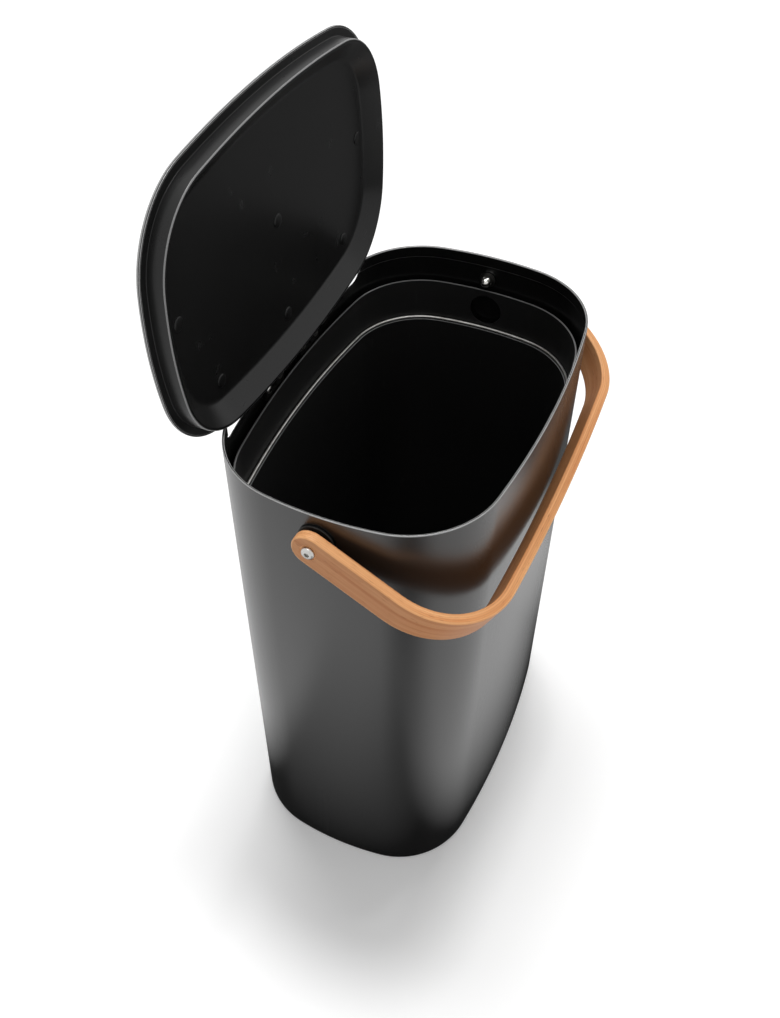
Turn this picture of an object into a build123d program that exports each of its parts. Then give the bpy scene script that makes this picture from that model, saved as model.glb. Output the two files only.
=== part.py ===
from build123d import *
import math
import os

# Recycling bin: a crowned rectangular steel sleeve with a moulded base, a hinged lid that
# stands open at the back, a removable bucket with a bag ring, and a bent-wood handle.
# Millimetres, +Z up, front at -Y, lid hinge at +Y, handle pivots at -X and +X.
# The origin is the centre of the underside.

# Outline of the sleeve: four crowned sides joined by tangent corners
half_width = 144.5
half_depth = 95.45
corner_radius = 62.9
long_side_radius = 674.0
short_side_radius = 239.0

# Sleeve
height = 400.0
sleeve_sheet = 0.8
hem_thickness = 1.6
hem_depth = 9.0
hem_bevel = 0.6

# Base
base_lip_height = 1.5
base_lip_inset = 0.6
base_floor = 3.0
base_flange_height = 16.0
base_wall = 1.8
fit_gap = 0.1

# Fasteners' outsides and their plain holes are many-sided
peg_sides = 8
head_sides = 16
washer_sides = 24
grip_sides = 16

# Bucket
bucket_top_drop = 27.3
band_inset = 4.15
band_wall = 1.2
band_height = 33.9
ledge_inner_inset = 8.4
ledge_thickness = 1.8
bucket_wall = 1.5
bucket_floor = 2.0
finger_hole_radius = 12.5
finger_hole_rise = 16.4
seat_gap = 0.1

# Bag ring
ring_wire_radius = 1.1
ring_wire_sides = 4
ring_gap = 0.3

# Lid cover
lid_height = 3.4
lid_rim_gap = 0.5
cover_inset = 0.2
cover_sheet = 1.0
cover_bevel = 0.8

# Lid liner
liner_plate = 2.4
liner_lip_gap = 0.2
flange_inset = 6.5
flange_depth = 13.6
flange_edge = 2.0
cove_run = 14.5

# Lid clips
clip_head_radius = 4.5
clip_head_height = 1.3
clip_head_rim = 0.4
clip_head_dome = 1.8
clip_stem_radius = 1.8
clip_hole_gap = 0.1
side_clip_inset = 28.5
side_clip_y = -5.0
rear_clip_inset = 58.5
rear_clip_drop = 38.45
centre_clip_drop = 31.45

# Lid hinge
hinge_axis_inset = 8.65
hinge_axis_drop = 5.55
lid_opening = 92.0
hinge_spacing = 52.0
pin_radius = 1.25
pin_length = 23.0
pin_press_gap = 0.02
pin_run_gap = 0.06
eye_radius = 2.5
arm_thickness = 4.0
arm_leg_offset = 3.0
arm_leg_width = 2.0
arm_web_drop = 11.5
arm_web_depth = 6.0
slot_side_gap = 0.4
slot_gap = 0.3
block_half_width = 38.0
block_reach = 3.6

# Hinge brackets on the back wall
foot_width = 26.0
foot_sheet = 1.6
foot_top_drop = 16.8
foot_height = 12.0
rivet_spacing = 17.0
rivet_drop = 22.5
rivet_radius = 1.6
rivet_head_radius = 2.8
rivet_head_height = 1.1
rivet_head_ease = 0.8
rivet_gap = 0.05
foot_gap = 0.05

# Cut-out in the back edge of the sleeve
notch_end_inset = 47.0
notch_depth = 15.5
notch_round = 8.0

# Handle strip
strip_thickness = 7.1
strip_width = 23.4
arm_spread = 4.3
handle_reach = 22.25
bend_radius = 55.7
bar_bow = 6.5
strip_edge_bevel = 1.0
rest_gap = 0.5

# Handle pivots
pivot_y = 1.5
pivot_drop = 20.0
screw_radius = 2.5
screw_hole_gap = 0.2
head_radius = 4.4
head_height = 2.6
head_ease = 1.6
hexagon_sides = 6
socket_across = 3.0
socket_depth = 1.5
counterbore_radius = 5.5
counterbore_depth = 0.4
bush_sleeve_radius = 4.0
bush_flange_radius = 8.0
bush_flange = 1.8
bush_gap = 0.06
bush_end_gap = 0.2
flange_gap = 0.425
bush_press_gap = 0.05
washer_radius = 11.9
washer_thickness = 1.5
washer_gap = 0.025
inner_washer_radius = 6.0
inner_washer_thickness = 1.0
inner_washer_gap = 0.15
nut_across = 8.0
nut_hex_height = 4.0
nut_dome_radius = 3.7
thread_depth = 5.4
thread_gap = 0.05
thread_end_gap = 0.1
dome_facets = 3
dome_reach = math.radians(75)

# Places that follow from the sizes above
cut_reach = half_width + height
notch_half_width = half_width - notch_end_inset
side_clip_x = half_width - side_clip_inset
rear_clip_x = half_width - rear_clip_inset
rear_clip_y = half_depth - rear_clip_drop
centre_clip_y = half_depth - centre_clip_drop
arm_inner = half_width + washer_gap + washer_thickness + flange_gap + bush_flange
arm_half_spacing = arm_inner + strip_thickness / 2
arm_outer = arm_inner + strip_thickness
bend_half_spacing = arm_half_spacing + arm_spread
handle_length = half_depth + handle_reach
long_centre_y = half_depth - long_side_radius
short_centre_x = half_width - short_side_radius
hinge_y = half_depth - hinge_axis_inset
hinge_z = height - hinge_axis_drop
hinge_x = hinge_spacing / 2
pivot_z = height - pivot_drop
lid_top = height + lid_height
lid_underside = lid_top - cover_sheet - fit_gap - liner_plate
bucket_top = height - bucket_top_drop
ledge_top = bucket_top - band_height
bucket_bottom = base_floor + seat_gap


def between(start, end, length):
    """The point at a length from start towards end."""
    share = length / math.dist(start, end)
    return (start[0] + (end[0] - start[0]) * share, start[1] + (end[1] - start[1]) * share)


def corner_centre():
    """Centre of the corner arc at +X, +Y, which touches both side arcs from inside."""
    long_reach = long_side_radius - corner_radius
    short_reach = short_side_radius - corner_radius
    distance = math.hypot(short_centre_x, long_centre_y)
    along = (long_reach**2 - short_reach**2 + distance**2) / (2 * distance)
    aside = math.sqrt(long_reach**2 - along**2)
    unit_x = short_centre_x / distance
    unit_y = -long_centre_y / distance
    return (along * unit_x + aside * unit_y, long_centre_y + along * unit_y - aside * unit_x)


corner = corner_centre()


def outline(inset, level=0.0):
    """Plan of the bin moved in by inset, as a face at the given level."""
    long_centre = (0.0, long_centre_y)
    short_centre = (short_centre_x, 0.0)
    long_end = between(long_centre, corner, long_side_radius - inset)
    short_end = between(short_centre, corner, short_side_radius - inset)
    chord_middle = ((long_end[0] + short_end[0]) / 2, (long_end[1] + short_end[1]) / 2)
    corner_middle = between(corner, chord_middle, corner_radius - inset)
    side = half_width - inset
    back = half_depth - inset
    quarter = [short_end, corner_middle, long_end]
    stops = [(side, 0.0)] + quarter + [(0.0, back)]
    stops += [(-x, y) for x, y in reversed(quarter)] + [(-side, 0.0)]
    stops += [(-x, -y) for x, y in quarter] + [(0.0, -back)]
    stops += [(x, -y) for x, y in reversed(quarter)]
    stops = stops[-1:] + stops[:-1]
    points = [(x, y, level) for x, y in stops]
    arcs = []
    for first in range(0, len(points), 2):
        last = (first + 2) % len(points)
        arcs.append(ThreePointArc(points[first], points[first + 1], points[last]))
    return Face(Wire(arcs))


def slab(inset, low, high):
    """Straight-sided block with the bin's plan."""
    return extrude(outline(inset, low), amount=high - low, dir=(0, 0, 1))


def stack(rings):
    """Block with straight flanks through rings, each an inset and a level, from the lowest up."""
    return loft([outline(inset, level) for inset, level in rings], ruled=True)


def block(low_x, high_x, low_y, high_y, low_z, high_z):
    """Box between two corners."""
    size = (high_x - low_x, high_y - low_y, high_z - low_z)
    middle = ((low_x + high_x) / 2, (low_y + high_y) / 2, (low_z + high_z) / 2)
    return Pos(*middle) * Box(*size)


def rod(radius, low_x, high_x, y, z):
    """Cylinder along X."""
    middle = (low_x + high_x) / 2
    return Pos(middle, y, z) * Rot(0, 90, 0) * Cylinder(radius, high_x - low_x)


def bar(radius, sides, low_x, high_x, y, z):
    """Many-sided bar along X whose flats touch the radius."""
    plane = Plane.YZ.offset(low_x) * Pos(y, z)
    return extrude(plane * RegularPolygon(radius, sides, major_radius=False), amount=high_x - low_x)


def peg(radius, x, z, low_y, high_y):
    """Many-sided peg along Y whose flats touch the radius."""
    face = Plane.XZ.offset(-low_y) * Pos(x, z) * RegularPolygon(radius, peg_sides, major_radius=False)
    return extrude(face, amount=-(high_y - low_y))


def post(radius, x, y, low_z, high_z):
    """Many-sided upright peg whose flats touch the radius."""
    face = Pos(x, y, low_z) * RegularPolygon(radius, peg_sides, major_radius=False)
    return extrude(face, amount=high_z - low_z)


def dome(base):
    """Many-sided dome on the pivot axis, pointing to -X from its base."""
    sections = []
    for step in range(dome_facets + 1):
        turn = dome_reach * step / dome_facets
        plane = Plane.YZ.offset(base - nut_dome_radius * math.sin(turn)) * Pos(pivot_y, pivot_z)
        sections.append(plane * RegularPolygon(nut_dome_radius * math.cos(turn), head_sides))
    return loft(sections, ruled=True)


def both_sides(shape):
    """The shape and its mirror image across the middle of the bin."""
    return Compound(children=[*shape.solids(), *mirror(shape, about=Plane.YZ).solids()])


def opened(shape):
    """Lid piece modelled closed, turned about the hinge to its open stop."""
    return Pos(0, hinge_y, hinge_z) * Rot(-lid_opening, 0, 0) * Pos(0, -hinge_y, -hinge_z) * shape


def wall_y(inset, x):
    """Depth of the back side at x, moved in by inset."""
    return long_centre_y + math.sqrt((long_side_radius - inset)**2 - x**2)


def rivet_places():
    """The x places of the rivets of the bracket on the +X side."""
    return [hinge_x - rivet_spacing / 2, hinge_x + rivet_spacing / 2]


def outer_body():
    """Sheet sleeve with a folded-in rim, back cut-out and fastener holes."""
    shell = stack([(0, base_lip_height), (0, height - hem_bevel), (hem_bevel, height)])
    shell -= slab(sleeve_sheet, base_lip_height, height - hem_depth)
    shell -= slab(hem_thickness, height - hem_depth, height)
    notch_low = height - notch_depth
    notch = block(-notch_half_width, notch_half_width, 0, cut_reach, notch_low, height + cut_reach)
    low_corners = notch.edges().filter_by(Axis.Y).group_by(Axis.Z)[0]
    shell -= fillet(low_corners, notch_round)
    shell -= bar(screw_radius + screw_hole_gap, peg_sides, -half_width, half_width, pivot_y, pivot_z)
    for x in rivet_places():
        for side in (x, -x):
            shell -= peg(rivet_radius + rivet_gap, side, height - rivet_drop, 0, half_depth)
    return shell


def base_plate():
    """Moulded base: floor, a flange inside the sleeve and a lip under the sleeve's edge."""
    tray_inset = sleeve_sheet + fit_gap
    tray = slab(tray_inset, 0, base_flange_height)
    tray += slab(base_lip_inset, 0, base_lip_height)
    return tray - slab(tray_inset + base_wall, base_floor, base_flange_height)


def inner_bucket():
    """Bucket with a ledge for the bag ring, a wider upper band and two finger holes."""
    ledge_low = ledge_top - ledge_thickness
    lower_outer_inset = ledge_inner_inset - bucket_wall
    shell = slab(lower_outer_inset, bucket_bottom, ledge_low)
    shell += slab(band_inset, ledge_low, bucket_top)
    shell -= slab(ledge_inner_inset, bucket_bottom + bucket_floor, ledge_top)
    shell -= slab(band_inset + band_wall, ledge_top, bucket_top)
    hole_z = ledge_top + finger_hole_rise
    return shell - bar(finger_hole_radius, grip_sides, -half_width, half_width, 0, hole_z)


def bag_ring():
    """Closed ring of many-sided wire lying on the bucket's ledge."""
    wire_middle = band_inset + band_wall + ring_gap + ring_wire_radius
    low = ledge_top + seat_gap
    corner_reach = ring_wire_radius / math.cos(math.pi / ring_wire_sides)
    section = []
    for step in range(ring_wire_sides // 2):
        turn = math.pi / ring_wire_sides * (2 * step + 1)
        section.append((corner_reach * math.sin(turn), ring_wire_radius - corner_reach * math.cos(turn)))
    outer = stack([(wire_middle - half, low + rise) for half, rise in section])
    return outer - stack([(wire_middle + half, low + rise) for half, rise in section])


def lid_cover():
    """Shallow pressed cover with an eased edge, closed position."""
    low = height + lid_rim_gap
    edge_low = lid_top - cover_bevel
    cover = stack([(cover_inset, low), (cover_inset, edge_low), (cover_inset + cover_bevel, lid_top)])
    return cover - slab(cover_inset + cover_sheet, low, lid_top - cover_sheet)


def slot_cutter():
    """Room in the hinge block for one gooseneck arm over its whole swing, closed position."""
    half = arm_thickness / 2 + slot_side_gap
    low_x = hinge_x - half
    high_x = hinge_x + half
    reach = arm_leg_offset + arm_leg_width + hinge_axis_inset
    leg = hinge_y + arm_leg_offset - slot_gap
    cutter = rod(eye_radius + slot_gap, low_x, high_x, hinge_y, hinge_z)
    inner = hinge_y - eye_radius - slot_gap
    cutter += block(low_x, high_x, inner, hinge_y + reach, hinge_z, lid_underside)
    cutter += block(low_x, high_x, leg, hinge_y + reach, hinge_z - reach, hinge_z)
    cutter += block(low_x, high_x, hinge_y, leg, hinge_z - arm_leg_width - slot_gap, hinge_z)
    return cutter


def clip_places():
    """Places of the lid clips on the liner."""
    sides = [(side_clip_x, side_clip_y), (rear_clip_x, rear_clip_y)]
    mirrored = [(-x, y) for x, y in sides]
    return sides + mirrored + [(0.0, centre_clip_y), (0.0, side_clip_y)]


def lid_liner():
    """Moulded liner: plate, coved flange, hinge block, arm slots and pin bores, closed position."""
    lip_low = height + lid_rim_gap + liner_lip_gap
    lip_inset = cover_inset + cover_sheet + fit_gap
    plate_top = lid_top - cover_sheet - fit_gap
    edge_low = lid_top - flange_depth
    liner = slab(lip_inset, lip_low, plate_top)
    liner += slab(flange_inset, edge_low, lip_low)
    liner -= stack([(flange_inset + flange_edge, edge_low), (flange_inset + cove_run, lid_underside)])
    liner += block(-block_half_width, block_half_width, hinge_y, hinge_y + block_reach,
                   hinge_z - block_reach, lip_low)
    slots = slot_cutter()
    bore = rod(pin_radius + pin_press_gap, block_half_width - pin_length, block_half_width, hinge_y, hinge_z)
    for cutter in (slots, bore):
        liner -= cutter
        liner -= mirror(cutter, about=Plane.YZ)
    for x, y in clip_places():
        liner -= post(clip_stem_radius + clip_hole_gap, x, y, edge_low, lid_top)
    return liner


def lid_clips():
    """Push clips with a domed head under the liner, closed position."""
    stem_top = lid_top - cover_sheet - fit_gap
    clips = []
    for x, y in clip_places():
        head = post(clip_head_radius, x, y, lid_underside - clip_head_height, lid_underside)
        low_edges = head.edges().group_by(Axis.Z)[0]
        head = chamfer(low_edges, clip_head_height - clip_head_rim, clip_head_dome)
        clips.append(head + post(clip_stem_radius, x, y, lid_underside, stem_top))
    return clips


def hinge_pin():
    """Pin of the +X hinge."""
    return rod(pin_radius, block_half_width - pin_length, block_half_width, hinge_y, hinge_z)


def hinge_bracket():
    """Gooseneck arm with a curved foot riveted inside the back wall, +X side."""
    half = arm_thickness / 2
    low_x = hinge_x - half
    high_x = hinge_x + half
    leg = hinge_y + arm_leg_offset
    leg_outer = leg + arm_leg_width
    web_top = hinge_z - arm_web_drop
    web_low = web_top - arm_web_depth
    arm = rod(eye_radius, low_x, high_x, hinge_y, hinge_z)
    arm += block(low_x, high_x, hinge_y, leg, hinge_z - arm_leg_width, hinge_z + arm_leg_width)
    arm += rod(arm_leg_width, low_x, high_x, leg, hinge_z)
    arm += block(low_x, high_x, leg, leg_outer, web_low, hinge_z)
    arm += block(low_x, high_x, leg, half_depth, web_low, web_top)
    wall_inset = sleeve_sheet + foot_gap
    arm &= slab(wall_inset, 0, height)
    foot_top = height - foot_top_drop
    foot_low = foot_top - foot_height
    foot = slab(wall_inset, foot_low, foot_top) - slab(wall_inset + foot_sheet, foot_low, foot_top)
    foot &= block(hinge_x - foot_width / 2, hinge_x + foot_width / 2, 0, half_depth, foot_low, foot_top)
    bracket = arm + foot
    bracket -= rod(pin_radius + pin_run_gap, low_x - half, high_x + half, hinge_y, hinge_z)
    for x in rivet_places():
        bracket -= peg(rivet_radius + rivet_gap, x, height - rivet_drop, 0, half_depth)
    return bracket


def bracket_rivets():
    """Rivets through the back wall and the foot of the +X bracket."""
    rivets = []
    z = height - rivet_drop
    for x in rivet_places():
        outside = wall_y(0, x - rivet_head_radius) + rivet_gap
        inside = wall_y(sleeve_sheet + foot_gap + foot_sheet, x + rivet_head_radius) - rivet_gap
        outer_head = peg(rivet_head_radius, x, z, outside, outside + rivet_head_height)
        outer_head = chamfer(outer_head.edges().group_by(Axis.Y)[-1], rivet_head_ease)
        inner_head = peg(rivet_head_radius, x, z, inside - rivet_head_height, inside)
        inner_head = chamfer(inner_head.edges().group_by(Axis.Y)[0], rivet_head_ease)
        rivets.append(outer_head + inner_head + peg(rivet_radius, x, z, inside, outside))
    return Compound(children=rivets)


def hang_angle():
    """Degrees below level at which the bar's lower inner edge comes to rest near the front wall."""
    reach = handle_length - strip_thickness / 2
    edge = math.hypot(reach, strip_width / 2)
    lean = math.atan2(strip_width / 2, reach)
    return math.degrees(math.acos((half_depth + pivot_y + rest_gap) / edge) - lean)


def hung(shape):
    """Handle piece modelled level about the X axis, turned down to rest at the front wall."""
    return Pos(0, pivot_y, pivot_z) * Rot(hang_angle(), 0, 0) * shape


def strip_curve(side):
    """One face line of the level handle seen from above, moved out by side from its middle."""
    arm_end = (bend_half_spacing, handle_length - bar_bow)
    arm_length = math.dist((arm_half_spacing, 0), arm_end)
    along = ((arm_end[0] - arm_half_spacing) / arm_length, arm_end[1] / arm_length)
    inward = (-along[1], along[0])
    bar_radius = (bend_half_spacing**2 + bar_bow**2) / (2 * bar_bow)
    bar_centre = handle_length - bar_radius
    start = (arm_half_spacing + inward[0] * bend_radius, inward[1] * bend_radius - bar_centre)
    forward = start[0] * along[0] + start[1] * along[1]
    remainder = start[0]**2 + start[1]**2 - (bar_radius - bend_radius)**2
    travel = -forward + math.sqrt(forward**2 - remainder)
    bend = (start[0] + along[0] * travel, start[1] + along[1] * travel + bar_centre)
    outward = (-inward[0], -inward[1])
    tail = strip_width
    arm_start = (arm_half_spacing - along[0] * tail + outward[0] * side,
                 -along[1] * tail + outward[1] * side)
    bend_start = (bend[0] + outward[0] * (bend_radius + side), bend[1] + outward[1] * (bend_radius + side))
    bend_end = between((0.0, bar_centre), bend, bar_radius + side)
    chord_middle = ((bend_start[0] + bend_end[0]) / 2, (bend_start[1] + bend_end[1]) / 2)
    bend_middle = between(bend, chord_middle, bend_radius + side)
    return arm_start, bend_start, bend_middle, bend_end, (0.0, handle_length + side)


def handle_level():
    """Strip of the handle lying level with its pivots on the X axis, pointing to -Y."""
    lines = []
    ends = []
    for side in (strip_thickness / 2, -strip_thickness / 2):
        arm_start, bend_start, bend_middle, bend_end, bar_middle = strip_curve(side)
        right = [(x, -y) for x, y in (arm_start, bend_start, bend_middle, bend_end)]
        left = [(-x, y) for x, y in right]
        lines.append(Line(right[0], right[1]))
        lines.append(ThreePointArc(right[1], right[2], right[3]))
        lines.append(ThreePointArc(right[3], (0, -bar_middle[1]), left[3]))
        lines.append(ThreePointArc(left[3], left[2], left[1]))
        lines.append(Line(left[1], left[0]))
        ends.append((right[0], left[0]))
    lines.append(Line(ends[0][0], ends[1][0]))
    lines.append(Line(ends[0][1], ends[1][1]))
    strip = extrude(Face(Wire(lines)), amount=strip_width / 2, both=True)
    spare = block(-cut_reach, cut_reach, 0, cut_reach, -strip_width, strip_width)
    strip -= spare - rod(strip_width / 2, -cut_reach, cut_reach, 0, 0)
    broad = strip.edges().filter_by_position(Axis.Z, -strip_width, -strip_width / 2 + strip_edge_bevel)
    broad += strip.edges().filter_by_position(Axis.Z, strip_width / 2 - strip_edge_bevel, strip_width)
    ends_round = strip.edges().filter_by(lambda edge: edge.center().Y > strip_thickness)
    return chamfer(list(broad) + list(ends_round), strip_edge_bevel)


def handle_strip():
    """Bent strip with bush holes and screw counterbores, hanging at rest."""
    strip = handle_level()
    strip -= bar(bush_sleeve_radius + bush_press_gap, head_sides, -cut_reach, cut_reach, 0, 0)
    recess_low = arm_inner - strip_width
    bore_low = arm_outer - counterbore_depth
    recesses = [bar(bush_flange_radius + bush_end_gap, head_sides, recess_low, arm_inner, 0, 0),
                bar(counterbore_radius, head_sides, bore_low, arm_outer + strip_width, 0, 0)]
    for recess in recesses:
        strip -= recess
        strip -= mirror(recess, about=Plane.YZ)
    return hung(strip)


def handle_bush():
    """Flanged bush in the +X end of the strip."""
    low = arm_inner - bush_flange
    high = arm_outer - counterbore_depth
    bush = bar(bush_flange_radius, head_sides, low, arm_inner, 0, 0)
    bush += bar(bush_sleeve_radius, head_sides, arm_inner, high, 0, 0)
    return hung(bush - rod(screw_radius + bush_gap, low, high, 0, 0))


def disc(radius, low_x, high_x):
    """Many-sided washer on the pivot axis with a many-sided hole round the screw."""
    washer = bar(radius, washer_sides, low_x, high_x, pivot_y, pivot_z)
    return washer - bar(screw_radius + screw_hole_gap, peg_sides, low_x, high_x, pivot_y, pivot_z)


def nut_seat():
    """The x place where the nut meets its washer."""
    return half_width - sleeve_sheet - inner_washer_gap - inner_washer_thickness


def pivot_screw():
    """Socket button-head screw, +X side."""
    head_low = arm_outer - counterbore_depth + bush_end_gap
    head = bar(head_radius, head_sides, head_low, head_low + head_height, pivot_y, pivot_z)
    head = chamfer(head.edges().group_by(Axis.X)[-1], head_ease)
    socket_low = head_low + head_height - socket_depth
    head -= bar(socket_across / 2, hexagon_sides, socket_low, head_low + head_height, pivot_y, pivot_z)
    return head + rod(screw_radius, nut_seat() - thread_depth + thread_end_gap, head_low, pivot_y, pivot_z)


def pivot_washer():
    """Wide washer between the wall and the handle, +X side."""
    low = half_width + washer_gap
    return disc(washer_radius, low, low + washer_thickness)


def inner_washer():
    """Small washer against the inside of the wall, +X side."""
    low = nut_seat()
    return disc(inner_washer_radius, low, low + inner_washer_thickness)


def acorn_nut():
    """Dome nut on the screw's inner end, +X side."""
    seat = nut_seat()
    base = seat - nut_hex_height
    nut = bar(nut_across / 2, hexagon_sides, base, seat, pivot_y, pivot_z)
    nut += dome(base)
    return nut - bar(screw_radius + thread_gap, head_sides, seat - thread_depth, seat, pivot_y, pivot_z)


def save(name, shape):
    """Write one piece, or one group of equal pieces, under its own name."""
    export_step(shape, os.path.join("parts", name + ".step"))


def main():
    """Build every piece and write it."""
    os.makedirs("parts", exist_ok=True)
    save("outer_body", outer_body())
    save("base_plate", base_plate())
    save("inner_bucket", inner_bucket())
    save("bag_ring", bag_ring())
    save("lid_cover", opened(lid_cover()))
    save("lid_liner", opened(lid_liner()))
    save("lid_clips", Compound(children=[opened(clip) for clip in lid_clips()]))
    pin = opened(hinge_pin())
    save("hinge_pin_right", pin)
    save("hinge_pin_left", mirror(pin, about=Plane.YZ))
    bracket = hinge_bracket()
    save("hinge_bracket_right", bracket)
    save("hinge_bracket_left", mirror(bracket, about=Plane.YZ))
    save("bracket_rivets", both_sides(bracket_rivets()))
    save("handle_strip", handle_strip())
    save("handle_bushes", both_sides(handle_bush()))
    save("pivot_screws", both_sides(pivot_screw()))
    save("pivot_washers", both_sides(pivot_washer()))
    save("inner_washers", both_sides(inner_washer()))
    save("acorn_nuts", both_sides(acorn_nut()))
    print("hang angle of the handle", round(hang_angle(), 2), "degrees below level")


main()
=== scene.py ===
"""Recycling bin with a bent-wood handle: meshes, finishes, light and camera round the frame."""
import logging
import math
from dataclasses import dataclass
from enum import Enum
from typing import Sequence

import bmesh
import bpy
import numpy as np
from mathutils import Matrix, Vector


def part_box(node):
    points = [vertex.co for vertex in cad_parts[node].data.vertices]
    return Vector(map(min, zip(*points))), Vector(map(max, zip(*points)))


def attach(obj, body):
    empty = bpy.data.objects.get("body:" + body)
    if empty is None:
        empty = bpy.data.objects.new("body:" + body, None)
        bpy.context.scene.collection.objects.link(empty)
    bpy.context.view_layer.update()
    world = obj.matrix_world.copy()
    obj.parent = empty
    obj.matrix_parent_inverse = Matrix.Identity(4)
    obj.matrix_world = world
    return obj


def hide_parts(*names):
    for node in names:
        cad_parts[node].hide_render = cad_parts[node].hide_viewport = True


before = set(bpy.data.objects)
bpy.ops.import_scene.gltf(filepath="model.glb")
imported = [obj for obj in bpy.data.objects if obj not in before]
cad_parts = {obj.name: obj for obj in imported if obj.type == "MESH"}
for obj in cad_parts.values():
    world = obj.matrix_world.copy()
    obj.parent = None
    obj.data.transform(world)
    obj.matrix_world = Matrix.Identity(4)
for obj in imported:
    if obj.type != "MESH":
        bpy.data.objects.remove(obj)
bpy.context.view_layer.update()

log = logging.getLogger("recycling_bin")

# Classes that build pieces hold their sizes in millimetres; finished meshes are in metres.
MM = 0.001
QUARTER_TURN = math.pi / 2

# Attributes that the finishes read from the meshes.
# The edge attribute marks convex edges, where the finishes paint highlights.
HIGHLIGHT_EDGE_MARK = "edge"
GRAIN_MARK = "grain"

# Ends of the names of paired nodes, and each hinge arm's distance from the bin's middle.
SIDES = ("left", "right")
ARM_X = 26.0

Point = tuple[float, float]
Corner = tuple[float, float, float]
Stretch = tuple[float, Vector, Vector]


class Slot(Enum):
    """Material slots of the record."""

    POWDER_COAT = "powder_coat"
    DARK_PLASTIC = "dark_plastic"
    BRIGHT_STEEL = "bright_steel"
    NUT_STEEL = "nut_steel"
    BENT_WOOD = "bent_wood"
    BUSH_PLASTIC = "bush_plastic"


class Cut(Enum):
    """Ways in which a tool shape changes a piece."""

    REMOVE = "DIFFERENCE"
    ADD = "UNION"


class Reading:
    """A node's output, whose operators add Math nodes to its tree."""

    def __init__(self, bench: "Bench", socket: bpy.types.NodeSocket) -> None:
        """Keep the output and the bench that it stands on."""
        self.bench = bench
        self.socket = socket

    def math(self, operation: str, *others: "Reading | float", swap: bool = False) -> "Reading":
        """Add one Math node.

        Args:
            operation: The Math node's operation.
            others: The other operands, readings or plain numbers.
            swap: Whether this reading is the second operand.

        Returns:
            The node's result.
        """
        operands = [self, *others]
        if swap:
            operands.reverse()
        return self.bench.read("ShaderNodeMath", {"operation": operation},
                               dict(enumerate(operands)))

    def __add__(self, other: "Reading | float") -> "Reading":
        """Sum."""
        return self.math("ADD", other)

    __radd__ = __add__

    def __mul__(self, other: "Reading | float") -> "Reading":
        """Product."""
        return self.math("MULTIPLY", other)

    __rmul__ = __mul__

    def __sub__(self, other: "Reading | float") -> "Reading":
        """Difference."""
        return self.math("SUBTRACT", other)

    def __rsub__(self, other: "Reading | float") -> "Reading":
        """Difference from a number."""
        return self.math("SUBTRACT", other, swap=True)

    def __truediv__(self, other: "Reading | float") -> "Reading":
        """Quotient."""
        return self.math("DIVIDE", other)

    def __rtruediv__(self, other: "Reading | float") -> "Reading":
        """Number divided by this reading."""
        return self.math("DIVIDE", other, swap=True)

    def __mod__(self, other: "Reading | float") -> "Reading":
        """Remainder, never negative."""
        return self.math("FLOORED_MODULO", other)

    def between(self, low: float, high: float) -> "Reading":
        """Rise smoothly from 0 at low to 1 at high."""
        return self.bench.read("ShaderNodeMapRange", {"interpolation_type": "SMOOTHSTEP"},
                               {"Value": self, "From Min": low, "From Max": high})


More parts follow.
